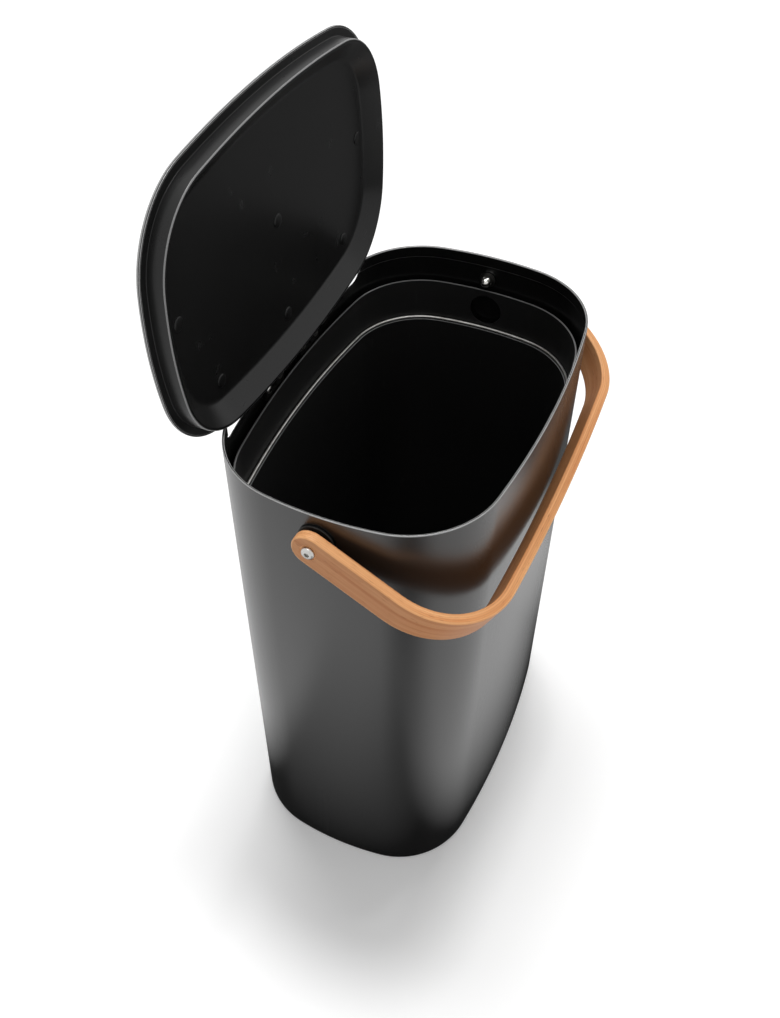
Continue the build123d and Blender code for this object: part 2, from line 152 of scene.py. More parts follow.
class Bench:
    """Makes the nodes of one tree."""

    def __init__(self, tree: bpy.types.NodeTree) -> None:
        """Keep the tree and count its nodes for their places."""
        self.tree = tree
        self.made = 0

    def add(self, kind: str, settings: dict | None = None,
            inputs: dict | None = None) -> bpy.types.Node:
        """Make one node.

        Args:
            kind: The node's type.
            settings: Its properties; stops are the stops of a colour ramp.
            inputs: Values or readings for its sockets, by name or place.

        Returns:
            The node.
        """
        node = self.tree.nodes.new(kind)
        node.location = (200 * (self.made % 12), -220 * (self.made // 12))
        self.made += 1
        for name, value in (settings or {}).items():
            if name == "stops":
                ramp = node.color_ramp.elements
                while len(ramp) < len(value):
                    ramp.new(1.0)
                for element, (place, colour) in zip(ramp, value):
                    element.position = place
                    element.color = colour
            else:
                setattr(node, name, value)
        for key, value in (inputs or {}).items():
            if isinstance(value, Reading):
                self.tree.links.new(value.socket, node.inputs[key])
            else:
                node.inputs[key].default_value = value
        return node

    def read(self, kind: str, settings: dict | None = None, inputs: dict | None = None,
             output: int | str = 0) -> Reading:
        """Make one node and read one of its outputs.

        Args:
            kind: The node's type.
            settings: Its properties.
            inputs: Values or readings for its sockets.
            output: The output's name or place.

        Returns:
            The output.
        """
        return Reading(self, self.add(kind, settings, inputs).outputs[output])

    def place(self) -> Reading:
        """Object coordinates, in metres."""
        return self.read("ShaderNodeTexCoord", output="Object")

    def mark(self, name: str, output: str = "Fac") -> Reading:
        """Attribute that the mesh carries."""
        return self.read("ShaderNodeAttribute", {"attribute_name": name}, None, output)

    def rays(self, *kinds: str) -> list[Reading]:
        """For each kind of ray, 1 where the surface is met by one and 0 elsewhere."""
        path = self.add("ShaderNodeLightPath")
        return [Reading(self, path.outputs[f"Is {kind} Ray"]) for kind in kinds]

    def parts(self, vector: Reading) -> list[Reading]:
        """X, Y and Z of a vector."""
        split = self.add("ShaderNodeSeparateXYZ", None, {0: vector})
        return [Reading(self, output) for output in split.outputs]

    def noise(self, vector: Reading, scale: float, detail: float = 3.0,
              roughness: float = 0.5) -> Reading:
        """Noise from 0 to 1.

        Args:
            vector: Where it is read.
            scale: How many features go in a metre.
            detail: How many finer layers it has.
            roughness: How strong those layers are.

        Returns:
            The noise.
        """
        inputs = {"Vector": vector, "Scale": scale, "Detail": detail, "Roughness": roughness}
        return self.read("ShaderNodeTexNoise", {"normalize": True}, inputs)

    def stretched(self, vector: Reading, scale: Sequence[float]) -> Reading:
        """Coordinates scaled by a factor along each axis."""
        return self.read("ShaderNodeMapping", None, {"Vector": vector, "Scale": scale})

    def mixed(self, share: "Reading | float", low: "Reading | Sequence[float]",
              high: "Reading | Sequence[float]") -> Reading:
        """Blend two colours.

        Args:
            share: How much of the second colour shows.
            low: The first colour.
            high: The second colour.

        Returns:
            The blend.
        """
        factor, first, second, result = 0, 6, 7, 2
        return self.read("ShaderNodeMix", {"data_type": "RGBA"},
                         {factor: share, first: low, second: high}, result)

    def bumped(self, height: Reading, distance: float, strength: float) -> Reading:
        """Surface normal from a height.

        Args:
            height: The height, from 0 to 1.
            distance: The depth of one unit of height, in metres.
            strength: The share of the effect that shows.

        Returns:
            The normal.
        """
        return self.read("ShaderNodeBump", None,
                         {"Height": height, "Distance": distance, "Strength": strength})


def grey(level: float) -> tuple[float, float, float, float]:
    """Opaque neutral colour of the given linear level."""
    return (level, level, level, 1.0)


def surface(name: str) -> tuple[bpy.types.Material, Bench]:
    """Start a material.

    Args:
        name: The material's name.

    Returns:
        The empty material and a bench on its tree.
    """
    material = bpy.data.materials.new(name)
    material.use_nodes = True
    material.node_tree.nodes.clear()
    return material, Bench(material.node_tree)


def shade(bench: Bench, inputs: dict) -> None:
    """End a material in one Principled shader with the given sockets."""
    shader = bench.read("ShaderNodeBsdfPrincipled", None, inputs)
    bench.add("ShaderNodeOutputMaterial", None, {"Surface": shader})


@dataclass(frozen=True)
class PowderCoat:
    """Satin black powder coat with a fine orange peel, faint smears, and painted highlights along
    its convex edges.
    """

    name: str = "powder_coat_finish"
    level: float = 0.006
    edge_highlight_level: float = 0.50
    roughness: float = 0.25
    index: float = 1.68
    smear_stretch: Corner = (9.0, 9.0, 2.2)
    smear_levels: Point = (0.85, 1.2)
    speck_scale: float = 2400.0
    speck_range: Point = (0.62, 0.8)
    speck_share: float = 0.3
    speck_level: float = 2.4
    peel_scale: float = 620.0
    peel_depth: float = 0.00005
    highlight_break_scale: float = 90.0

    def material(self) -> bpy.types.Material:
        """Build the finish.

        Returns:
            The material, which reads the mesh's own edge attribute.
        """
        made, bench = surface(self.name)
        place = bench.place()
        edge = bench.mark(HIGHLIGHT_EDGE_MARK)
        smear = bench.noise(bench.stretched(place, self.smear_stretch), 1.0, 4.0, 0.55)
        speck = bench.noise(place, self.speck_scale, 2.0, 0.6)
        peel = bench.noise(place, self.peel_scale, 2.0, 0.45)
        highlight_break = bench.noise(place, self.highlight_break_scale, 3.0, 0.6)
        # Painted highlight: convex edges are coloured lighter, broken up by noise, in place of the
        # light they would catch.
        painted_edge_highlight = edge * (highlight_break * 0.5 + 0.55)
        dark, pale = (grey(self.level * share) for share in self.smear_levels)
        flecks = speck.between(*self.speck_range) * self.speck_share
        flecked = bench.mixed(flecks, bench.mixed(smear, dark, pale),
                              grey(self.level * self.speck_level))
        shade(bench, {"Base Color": bench.mixed(painted_edge_highlight, flecked, grey(self.edge_highlight_level)),
                      "Roughness": smear * 0.08 + (self.roughness - 0.04) + speck * 0.03,
                      "Normal": bench.bumped(peel, self.peel_depth, 0.35), "IOR": self.index})
        return made


@dataclass(frozen=True)
class MouldedPlastic:
    """Dark moulded plastic with a fine grain, faint flow marks and dust, and painted highlights
    along its convex edges.
    """

    name: str = "moulded_plastic_finish"
    level: float = 0.010
    roughness: float = 0.42
    grain_scale: float = 1500.0
    grain_depth: float = 0.00004
    dust: float = 0.25
    dust_level: float = 4.0
    edge_highlight_level: float = 0.10
    index: float = 1.5
    flow_stretch: Corner = (14.0, 5.0, 14.0)
    flow_levels: Point = (0.8, 1.25)
    mark_stretch: Corner = (60.0, 420.0, 60.0)
    mark_range: Point = (0.66, 0.78)

    def material(self) -> bpy.types.Material:
        """Build the finish.

        Returns:
            The material, which reads the mesh's own edge attribute.
        """
        made, bench = surface(self.name)
        place = bench.place()
        flow = bench.noise(bench.stretched(place, self.flow_stretch), 1.0, 4.0, 0.6)
        grain = bench.noise(place, self.grain_scale, 2.0, 0.6)
        marks = bench.noise(bench.stretched(place, self.mark_stretch), 1.0, 2.0, 0.5)
        marks = marks.between(*self.mark_range)
        dark, pale = (grey(self.level * share) for share in self.flow_levels)
        dusted = bench.mixed(marks * self.dust, bench.mixed(flow, dark, pale),
                             grey(self.level * self.dust_level))
        # Painted highlight: convex edges are coloured lighter, broken up by the grain.
        edge = bench.mark(HIGHLIGHT_EDGE_MARK) * (grain * 0.4 + 0.6)
        roughness = flow * 0.08 + (self.roughness - 0.04) + grain * 0.05 - marks * 0.05
        shade(bench, {"Base Color": bench.mixed(edge, dusted, grey(self.edge_highlight_level)),
                      "Roughness": roughness,
                      "Normal": bench.bumped(grain, self.grain_depth, 0.4), "IOR": self.index})
        return made


@dataclass(frozen=True)
class TurnedSteel:
    """Bare steel with fine turning marks and slight stains."""

    name: str = "turned_steel_finish"
    level: float = 0.60
    roughness: float = 0.26
    tint: Corner = (1.0, 0.985, 0.95)
    stained: Corner = (0.72, 0.70, 0.66)
    stain_scale: float = 240.0
    stain_range: Point = (0.35, 0.75)
    mark_stretch: Corner = (1.0, 0.35, 1.0)
    mark_scale: float = 2600.0
    mark_depth: float = 0.00001

    def material(self) -> bpy.types.Material:
        """Build the finish.

        Returns:
            The material.
        """
        made, bench = surface(self.name)
        place = bench.place()
        stain = bench.noise(place, self.stain_scale, 3.0, 0.6)
        marks = bench.noise(bench.stretched(place, self.mark_stretch), self.mark_scale, 2.0, 0.5)
        clean, dull = ((*(self.level * share for share in shares), 1.0)
                       for shares in (self.tint, self.stained))
        shade(bench, {"Base Color": bench.mixed(stain.between(*self.stain_range), clean, dull),
                      "Metallic": 1.0,
                      "Roughness": stain * 0.16 + (self.roughness - 0.08) + marks * 0.06,
                      "Normal": bench.bumped(marks, self.mark_depth, 0.3)})
        return made


@dataclass(frozen=True)
class SteamedWood:
    """Oiled beech-like strip: fibres along it, short flecks and glue lines between its plies."""

    name: str = "steamed_wood_finish"
    pale: Sequence[float] = (0.90, 0.47, 0.21, 1.0)
    warm: Sequence[float] = (0.60, 0.21, 0.062, 1.0)
    dark: Sequence[float] = (0.22, 0.05, 0.012, 1.0)
    plies: int = 5
    thickness: float = 7.1 * MM
    roughness: float = 0.46
    sway_stretch: Corner = (9.0, 30.0, 60.0)
    year_stretch: Corner = (5.0, 210.0, 260.0)
    fibre_stretch: Corner = (34.0, 1900.0, 1900.0)
    fleck_stretch: Corner = (150.0, 1300.0, 2200.0)
    fleck_range: Point = (0.66, 0.76)
    glue_range: Point = (0.40, 0.49)
    fibre_depth: float = 0.00009

    def material(self) -> bpy.types.Material:
        """Build the finish.

        Returns:
            The material, which reads length, width and depth from the strip's grain attribute.
        """
        made, bench = surface(self.name)
        grain = bench.mark(GRAIN_MARK, "Vector")
        sway = bench.noise(bench.stretched(grain, self.sway_stretch), 1.0, 2.0, 0.5)
        years = bench.noise(bench.stretched(grain, self.year_stretch), 1.0, 4.0, 0.6)
        fibres = bench.noise(bench.stretched(grain, self.fibre_stretch), 1.0, 3.0, 0.6)
        flecks = bench.noise(bench.stretched(grain, self.fleck_stretch), 1.0, 1.0, 0.5)
        flecks = flecks.between(*self.fleck_range)
        ply = (bench.parts(grain)[2] / self.thickness + 0.5) * self.plies
        glue = ((ply % 1.0) - 0.5).math("ABSOLUTE").between(*self.glue_range)
        ply_tone = bench.read("ShaderNodeTexWhiteNoise", {"noise_dimensions": "1D"},
                              {"W": ply.math("FLOOR")})
        tone = years * 0.62 + sway * 0.30 + fibres * 0.22 + ply_tone * 0.10 - 0.14
        base = bench.mixed(tone.between(0.32, 0.72), self.pale, self.warm)
        veined = bench.mixed(flecks * 0.42 + fibres.between(0.58, 0.8) * 0.22, base, self.dark)
        normal = bench.bumped(fibres - flecks * 0.6 - glue * 0.5, self.fibre_depth, 0.5)
        shade(bench, {"Base Color": bench.mixed(glue * 0.40, veined, self.dark),
                      "Roughness": fibres * 0.16 + (self.roughness - 0.08) + flecks * 0.06,
                      "Normal": normal, "Specular IOR Level": 0.25,
                      "Coat Weight": 0.05 - flecks * 0.03, "Coat Roughness": 0.35})
        return made


@dataclass(frozen=True)
class StudioFloor:
    """White paper floor that keeps the shadow; sizes in metres.

    It glows a little for the camera. Reflections see painted shade in place of the lit floor:
    darker towards the bin's foot, in round spots (centre, reach and depth) and past its right
    end; these were fitted until the walls shaded much as in the photograph.
    """

    name: str = "studio_floor_finish"
    level: float = 0.985
    lift: float = 0.14
    foot: Point = (0.145, 0.095)
    reach: Point = (0.22, 0.06)
    foot_shade_level: float = 0.03
    spots: Sequence[tuple[Corner, float, float]] = (
        ((-0.25, -0.12, 0.0), 0.14, 0.5),
        ((-0.46, -0.22, 0.0), 0.25, 0.95),
    )
    end: Point = (0.24, 0.36)
    end_shade_depth: float = 0.85
    paper_scale: float = 18.0

    def material(self) -> bpy.types.Material:
        """Build the finish.

        Returns:
            The material.
        """
        made, bench = surface(self.name)
        place = bench.place()
        camera, glossy = bench.rays("Camera", "Glossy")
        parts = bench.parts(place)
        # Painted shade for reflections only: darker near the bin's foot, in round spots and past
        # its right end.
        across, along = ((part.math("ABSOLUTE") - foot).math("MAXIMUM", 0.0) / reach
                         for part, foot, reach in zip(parts, self.foot, self.reach))
        share = (across + along).math("MINIMUM", 1.0)
        reflected_painted_shade = share * (1.0 - self.foot_shade_level) + self.foot_shade_level
        for centre, reach, depth in self.spots:
            aside = bench.read("ShaderNodeVectorMath", {"operation": "DISTANCE"},
                               {0: place, 1: centre}, "Value")
            reflected_painted_shade = reflected_painted_shade * (aside.between(0.0, reach) * depth + (1.0 - depth))
        reflected_painted_shade = reflected_painted_shade * (1.0 - parts[0].between(*self.end) * self.end_shade_depth)
        paper = bench.noise(place, self.paper_scale, 2.0, 0.5)
        colour = bench.mixed(paper, grey(self.level), grey(1.0))
        # For reflections the lit colour goes black and the glow carries the painted shade; the
        # camera sees the lit floor plus an even lift.
        lit = bench.mixed(glossy, colour, grey(0.0))
        glow = glossy * reflected_painted_shade + camera * self.lift
        tint = bench.read("ShaderNodeCombineColor", None,
                          {"Red": glow, "Green": glow, "Blue": glow})
        shade(bench, {"Base Color": lit, "Roughness": 0.9, "Specular IOR Level": 0.0,
                      "Emission Color": tint, "Emission Strength": 1.0})
        return made


def quarter_turn(steps: int) -> list[Point]:
    """Sine and cosine at each step of a quarter turn, both ends included."""
    turns = [QUARTER_TURN * step / steps for step in range(steps + 1)]
    return [(math.sin(turn), math.cos(turn)) for turn in turns]


def circle(radius: float, sides: int) -> list[Point]:
    """Points of a circle round the origin."""
    return [(radius * math.cos(math.tau * side / sides), radius * math.sin(math.tau * side / sides))
            for side in range(sides)]


def rounded(corners: Sequence[Corner], steps: int = 5, hold: float = 0.25,
            closed: bool = False) -> list[Point]:
    """Round the corners of a profile.

    Args:
        corners: Each corner's place and radius.
        steps: Facets in each rounding.
        hold: Distance of a support point before and after each rounding, where there is room.
        closed: Whether the last corner joins the first.

    Returns:
        The points of the profile.
    """
    points: list[Point] = []
    count = len(corners)
    for number, (across, level, radius) in enumerate(corners):
        here = Vector((across, level))
        if radius <= 0 or (not closed and number in (0, count - 1)):
            points.append((across, level))
            continue
        before = Vector(corners[number - 1][:2]) - here
        after = Vector(corners[(number + 1) % count][:2]) - here
        half = before.angle(after) / 2
        reach = radius / math.tan(half)
        start = here + before.normalized() * reach
        end = here + after.normalized() * reach
        middle = (before.normalized() + after.normalized()).normalized()
        centre = here + middle * (radius / math.sin(half))
        if before.length > reach + hold * 3:
            points.append(tuple(start + before.normalized() * hold))
        for step in range(steps + 1):
            arm = (start - centre).slerp(end - centre, step / steps).normalized() * radius
            points.append(tuple(centre + arm))
        if after.length > reach + hold * 3:
            points.append(tuple(end + after.normalized() * hold))
    return points


@dataclass(frozen=True)
class Plan:
    """Outline of the bin: four crowned sides that run into round corners, in millimetres."""

    half_width: float = 144.5
    half_depth: float = 95.45
    corner_radius: float = 62.9
    long_side_radius: float = 674.0
    short_side_radius: float = 239.0
    short_steps: int = 9
    corner_steps: int = 20
    long_steps: int = 15
    heart_radius: float = 4.0
    through_share: float = 1.2

    @property
    def short_centre(self) -> Vector:
        """Centre of the +X side's arc."""
        return Vector((self.half_width - self.short_side_radius, 0.0))

    @property
    def long_centre(self) -> Vector:
        """Centre of the +Y side's arc."""
        return Vector((0.0, self.half_depth - self.long_side_radius))

    @property
    def heart(self) -> float:
        """Inset of the small ring whose flat face closes a plate in its middle."""
        return self.corner_radius - self.heart_radius

    @property
    def through(self) -> float:
        """Distance from the middle at which a tool has left every wall."""
        return self.half_width * self.through_share

    def corner(self) -> Vector:
        """Find the corner arc at +X, +Y, which runs into both side arcs.

        Returns:
            Its centre.
        """
        long_reach = self.long_side_radius - self.corner_radius
        short_reach = self.short_side_radius - self.corner_radius
        across = self.short_centre - self.long_centre
        distance = across.length
        along = (long_reach**2 - short_reach**2 + distance**2) / (2 * distance)
        aside = math.sqrt(long_reach**2 - along**2)
        unit = across / distance
        return self.long_centre + unit * along + Vector((unit.y, -unit.x)) * aside

    def quarter(self, inset: float) -> list[Point]:
        """Walk a quarter of the outline, from the +X side to the +Y side.

        Args:
            inset: How far it is moved in.

        Returns:
            The points.
        """
        corner, short_centre, long_centre = self.corner(), self.short_centre, self.long_centre
        first = math.atan2(corner.y, corner.x - short_centre.x)
        second = math.atan2(corner.y - long_centre.y, corner.x)
        arcs = [(short_centre, self.short_side_radius, 0.0, first, self.short_steps),
                (corner, self.corner_radius, first, second, self.corner_steps),
                (long_centre, self.long_side_radius, second, QUARTER_TURN, self.long_steps)]
        points = []
        for centre, radius, start, end, steps in arcs:
            for step in range(steps):
                turn = start + (end - start) * step / steps
                points.append((centre.x + (radius - inset) * math.cos(turn),
                               centre.y + (radius - inset) * math.sin(turn)))
        return points + [(0.0, self.half_depth - inset)]

    def ring(self, inset: float, level: float) -> np.ndarray:
        """Closed ring of points at a level.

        Args:
            inset: How far the ring lies inside the outline.
            level: Its height.

        Returns:
            One row for each point, in millimetres.
        """
        quarter = self.quarter(inset)
        points = list(quarter)
        points += [(-x, y) for x, y in reversed(quarter[:-1])]
        points += [(-x, -y) for x, y in quarter[1:]]
        points += [(x, -y) for x, y in reversed(quarter[1:-1])]
        return np.array([(x, y, level) for x, y in points])

    def outward(self, place: Vector) -> Vector:
        """Find the level way straight out of the outline.

        Args:
            place: A place beside the outline, in metres.

        Returns:
            The way, of length 1.
        """
        corner, short_centre, long_centre = self.corner(), self.short_centre, self.long_centre
        spot = Vector((abs(place.x), abs(place.y))) / MM
        short, long, arm = spot - short_centre, spot - long_centre, spot - corner
        short_end, long_end = corner - short_centre, corner - long_centre
        if short.x * short_end.y - short.y * short_end.x > 0:
            arm = short
        elif long.x * long_end.y - long.y * long_end.x < 0:
            arm = long
        way = Vector((math.copysign(arm.x, place.x), math.copysign(arm.y, place.y), 0.0))
        return way.normalized()

    def back(self, x: float) -> float:
        """Depth of the back side at x."""
        rise = math.sqrt(self.long_side_radius**2 - x**2)
        return self.half_depth - self.long_side_radius + rise


PLAN = Plan()


def placed(name: str, data: bpy.types.ID) -> bpy.types.Object:
    """Put a new object into the scene.

    Args:
        name: Its name.
        data: Its mesh, camera or lamp.

    Returns:
        The object, at the origin.
    """
    made = bpy.data.objects.new(name, data)
    bpy.context.scene.collection.objects.link(made)
    return made


def mesh_of(name: str, points: np.ndarray, faces: Sequence[Sequence[int]]) -> bpy.types.Object:
    """Make a mesh object from points in millimetres.

    Args:
        name: The object's name.
        points: One row for each point.
        faces: The point numbers of each face.

    Returns:
        The object, at the origin, with its doubles merged and its faces turned outwards.
    """
    mesh = bpy.data.meshes.new(name)
    mesh.from_pydata((np.asarray(points) * MM).tolist(), [], faces)
    tidy(mesh)
    return placed(name, mesh)


def tidy(mesh: bpy.types.Mesh, reach: float = 1e-7) -> None:
    """Merge doubles and turn every face outwards.

    Args:
        mesh: The closed mesh.
        reach: Distance within which points are one, in the mesh's own unit.
    """
    work = bmesh.new()
    work.from_mesh(mesh)
    bmesh.ops.remove_doubles(work, verts=work.verts, dist=reach)
    bmesh.ops.dissolve_degenerate(work, edges=work.edges, dist=reach)
    bmesh.ops.recalc_face_normals(work, faces=work.faces)
    work.to_mesh(mesh)
    work.free()


def loft(name: str, rings: Sequence[np.ndarray], closed: bool = False,
         capped: bool = True) -> bpy.types.Object:
    """Skin a row of equal rings.

    Args:
        name: The object's name.
        rings: The rings, each with as many points.
        closed: Whether the last ring joins the first.
        capped: Whether an open row gets a flat face at each end.

    Returns:
        The object.
    """
    size = len(rings[0])
    faces = []
    rows = len(rings) if closed else len(rings) - 1
    for row in range(rows):
        low = row * size
        high = (row + 1) % len(rings) * size
        for place in range(size):
            beside = (place + 1) % size
            faces.append((low + place, low + beside, high + beside, high + place))
    if capped and not closed:
        faces.append(tuple(range(size)))
        faces.append(tuple((len(rings) - 1) * size + place for place in range(size)))
    return mesh_of(name, np.concatenate(rings), faces)


def moulding(name: str, profile: Sequence[Point], closed: bool = False) -> bpy.types.Object:
    """Carry a profile of insets and levels round the plan."""
    return loft(name, [PLAN.ring(inset, level) for inset, level in profile], closed)


def rod(radius: float, start: Sequence[float], end: Sequence[float],
        sides: int = 48) -> bpy.types.Object:
    """Make a round tool.

    Args:
        radius: Its radius, in millimetres.
        start: The middle of one end.
        end: The middle of the other end.
        sides: Facets round it.

    Returns:
        The tool.
    """
    first, last = Vector(start), Vector(end)
    turn = (last - first).to_track_quat("Z", "Y")
    spokes = [turn @ Vector((x, y, 0.0)) for x, y in circle(radius, sides)]
    return loft("tool", [np.array([tuple(centre + spoke) for spoke in spokes])
                         for centre in (first, last)])


def brick(low: Sequence[float], high: Sequence[float], rounding: float = 0.0) -> bpy.types.Object:
    """Make a box tool.

    Args:
        low: Its low corner, in millimetres.
        high: Its high corner.
        rounding: Radius of its edges along X.

    Returns:
        The tool.
    """
    corners = [(low[1], low[2], rounding), (high[1], low[2], rounding),
               (high[1], high[2], rounding), (low[1], high[2], rounding)]
    section = [corner[:2] for corner in corners]
    if rounding:
        section = rounded(corners, steps=4, closed=True)
    return loft("tool", [np.array([(x, y, z) for y, z in section]) for x in (low[0], high[0])])


def shaped(piece: bpy.types.Object, tools: Sequence[bpy.types.Object], cut: Cut) -> None:
    """Change a piece's mesh by tool shapes, which are then removed.

    Args:
        piece: The piece.
        tools: The tool shapes.
        cut: Whether they are added or removed.
    """
    for tool in tools:
        work = piece.modifiers.new("shape", "BOOLEAN")
        work.operation = cut.value
        work.solver = "MANIFOLD"
        work.object = tool
    settle(piece)
    for tool in tools:
        mesh = tool.data
        bpy.data.objects.remove(tool)
        bpy.data.meshes.remove(mesh)


def settle(piece: bpy.types.Object) -> None:
    """Turn a piece and its modifiers into one plain mesh.

    Args:
        piece: The piece.
    """
    bpy.context.view_layer.update()
    graph = bpy.context.evaluated_depsgraph_get()
    mesh = bpy.data.meshes.new_from_object(piece.evaluated_get(graph))
    piece.modifiers.clear()
    old = piece.data
    piece.data = mesh
    mesh.name = piece.name
    bpy.data.meshes.remove(old)


def softened(piece: bpy.types.Object, angle: float = 32.0) -> None:
    """Shade a piece smooth, with creases where its faces turn sharply.

    Args:
        piece: The piece.
        angle: The turn past which an edge is a crease, in degrees.
    """
    mesh = piece.data
    mesh.polygons.foreach_set("use_smooth", [True] * len(mesh.polygons))
    mesh.set_sharp_from_angle(angle=math.radians(angle))


def edged(piece: bpy.types.Object, least: float = 8.0, full: float = 13.0,
          broad: float = 7e-6) -> None:
    """Mark the convex edges of a piece from 0 to 1 in its edge attribute.

    Args:
        piece: The piece, with its final mesh.
        least: The turn between two faces, in degrees, up to which nothing is marked.
        full: The turn that counts as a whole edge.
        broad: Area of a face, in square metres, from which its corners stay unmarked.
    """
    work = bmesh.new()
    work.from_mesh(piece.data)
    # The finishes paint highlights where this mark is high.
    layer = work.verts.layers.float.new(HIGHLIGHT_EDGE_MARK)
    for vertex in work.verts:
        turns = [edge.calc_face_angle_signed(0.0) for edge in vertex.link_edges if edge.is_manifold]
        turn = math.degrees(max(turns, default=0.0))
        if any(face.calc_area() > broad for face in vertex.link_faces):
            turn = 0.0
        vertex[layer] = min(max((turn - least) / (full - least), 0.0), 1.0)
    work.to_mesh(piece.data)
    work.free()


def combed(piece: bpy.types.Object, lay: Matrix | None = None, plate_area: float = 4e-5,
           level: float = 0.9995, upright: float = 0.02, along_plan: float = 0.97) -> None:
    """Crease the edges of plates and give cut walls the plan's own normals: cuts leave no marks.

    Args:
        piece: The moulding, dressed.
        lay: How the upright moulding was laid in its place.
        plate_area: Area from which a level face belongs to a plate, in square metres.
        level: Rise of a face's normal, from 0 to 1, from which the face is level.
        upright: Rise of a face's normal up to which the face is upright.
        along_plan: Cosine of the turn from the plan's own way, from which the face is a wall.
    """
    mesh = piece.data
    lay = lay or Matrix.Identity(4)
    back, turn = lay.inverted(), lay.to_3x3()
    work = bmesh.new()
    work.from_mesh(mesh)
    walls, plates = set(), set()
    for face in work.faces:
        facing = back.to_3x3() @ face.normal
        if abs(facing.z) > level and face.calc_area() > plate_area:
            plates.add(face.index)
        elif abs(facing.z) < upright:
            way = PLAN.outward(back @ face.calc_center_median())
            if abs(way.dot(facing)) > along_plan:
                walls.add(face.index)
    for edge in work.edges:
        if sum(face.index in plates for face in edge.link_faces) == 1:
            edge.smooth = False
    free = {vert.index for vert in work.verts
            if all(not edge.smooth or sum(face.index in walls for face in edge.link_faces) != 1
                   for edge in vert.link_edges)}
    work.to_mesh(mesh)
    work.free()
    normals = [corner.vector.copy() for corner in mesh.corner_normals]
    for number in walls:
        polygon = mesh.polygons[number]
        for loop in polygon.loop_indices:
            vertex = mesh.loops[loop].vertex_index
            if vertex in free:
                way = turn @ PLAN.outward(back @ mesh.vertices[vertex].co)
                normals[loop] = way * math.copysign(1.0, way.dot(polygon.normal))
    mesh.normals_split_custom_set(normals)


def dressed(piece: bpy.types.Object, body: str, slot: Slot, finish: bpy.types.Material,
            *nodes: str) -> None:
    """Give a finished piece its material and its place in the frame.

    Args:
        piece: The piece.
        body: The body that it moves with.
        slot: The record's material slot; not used.
        finish: Its material.
        nodes: The frame's nodes that it stands for.
    """
    softened(piece)
    edged(piece)
    piece.data.materials.clear()
    piece.data.materials.append(finish)
    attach(piece, body)
    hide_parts(*nodes)
    log.info("%s: %d faces on %s", piece.name, len(piece.data.polygons), body)


def recoated(node: str, finish: bpy.types.Material) -> None:
    """Give one of the frame's own nodes a finish.

    Args:
        node: The node's name.
        finish: Its material.
    """
    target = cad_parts[node]
    if not target.material_slots:
        target.data.materials.append(finish)
    for holder in target.material_slots:
        holder.material = finish
    log.info("%s: recoated with %s", node, finish.name)


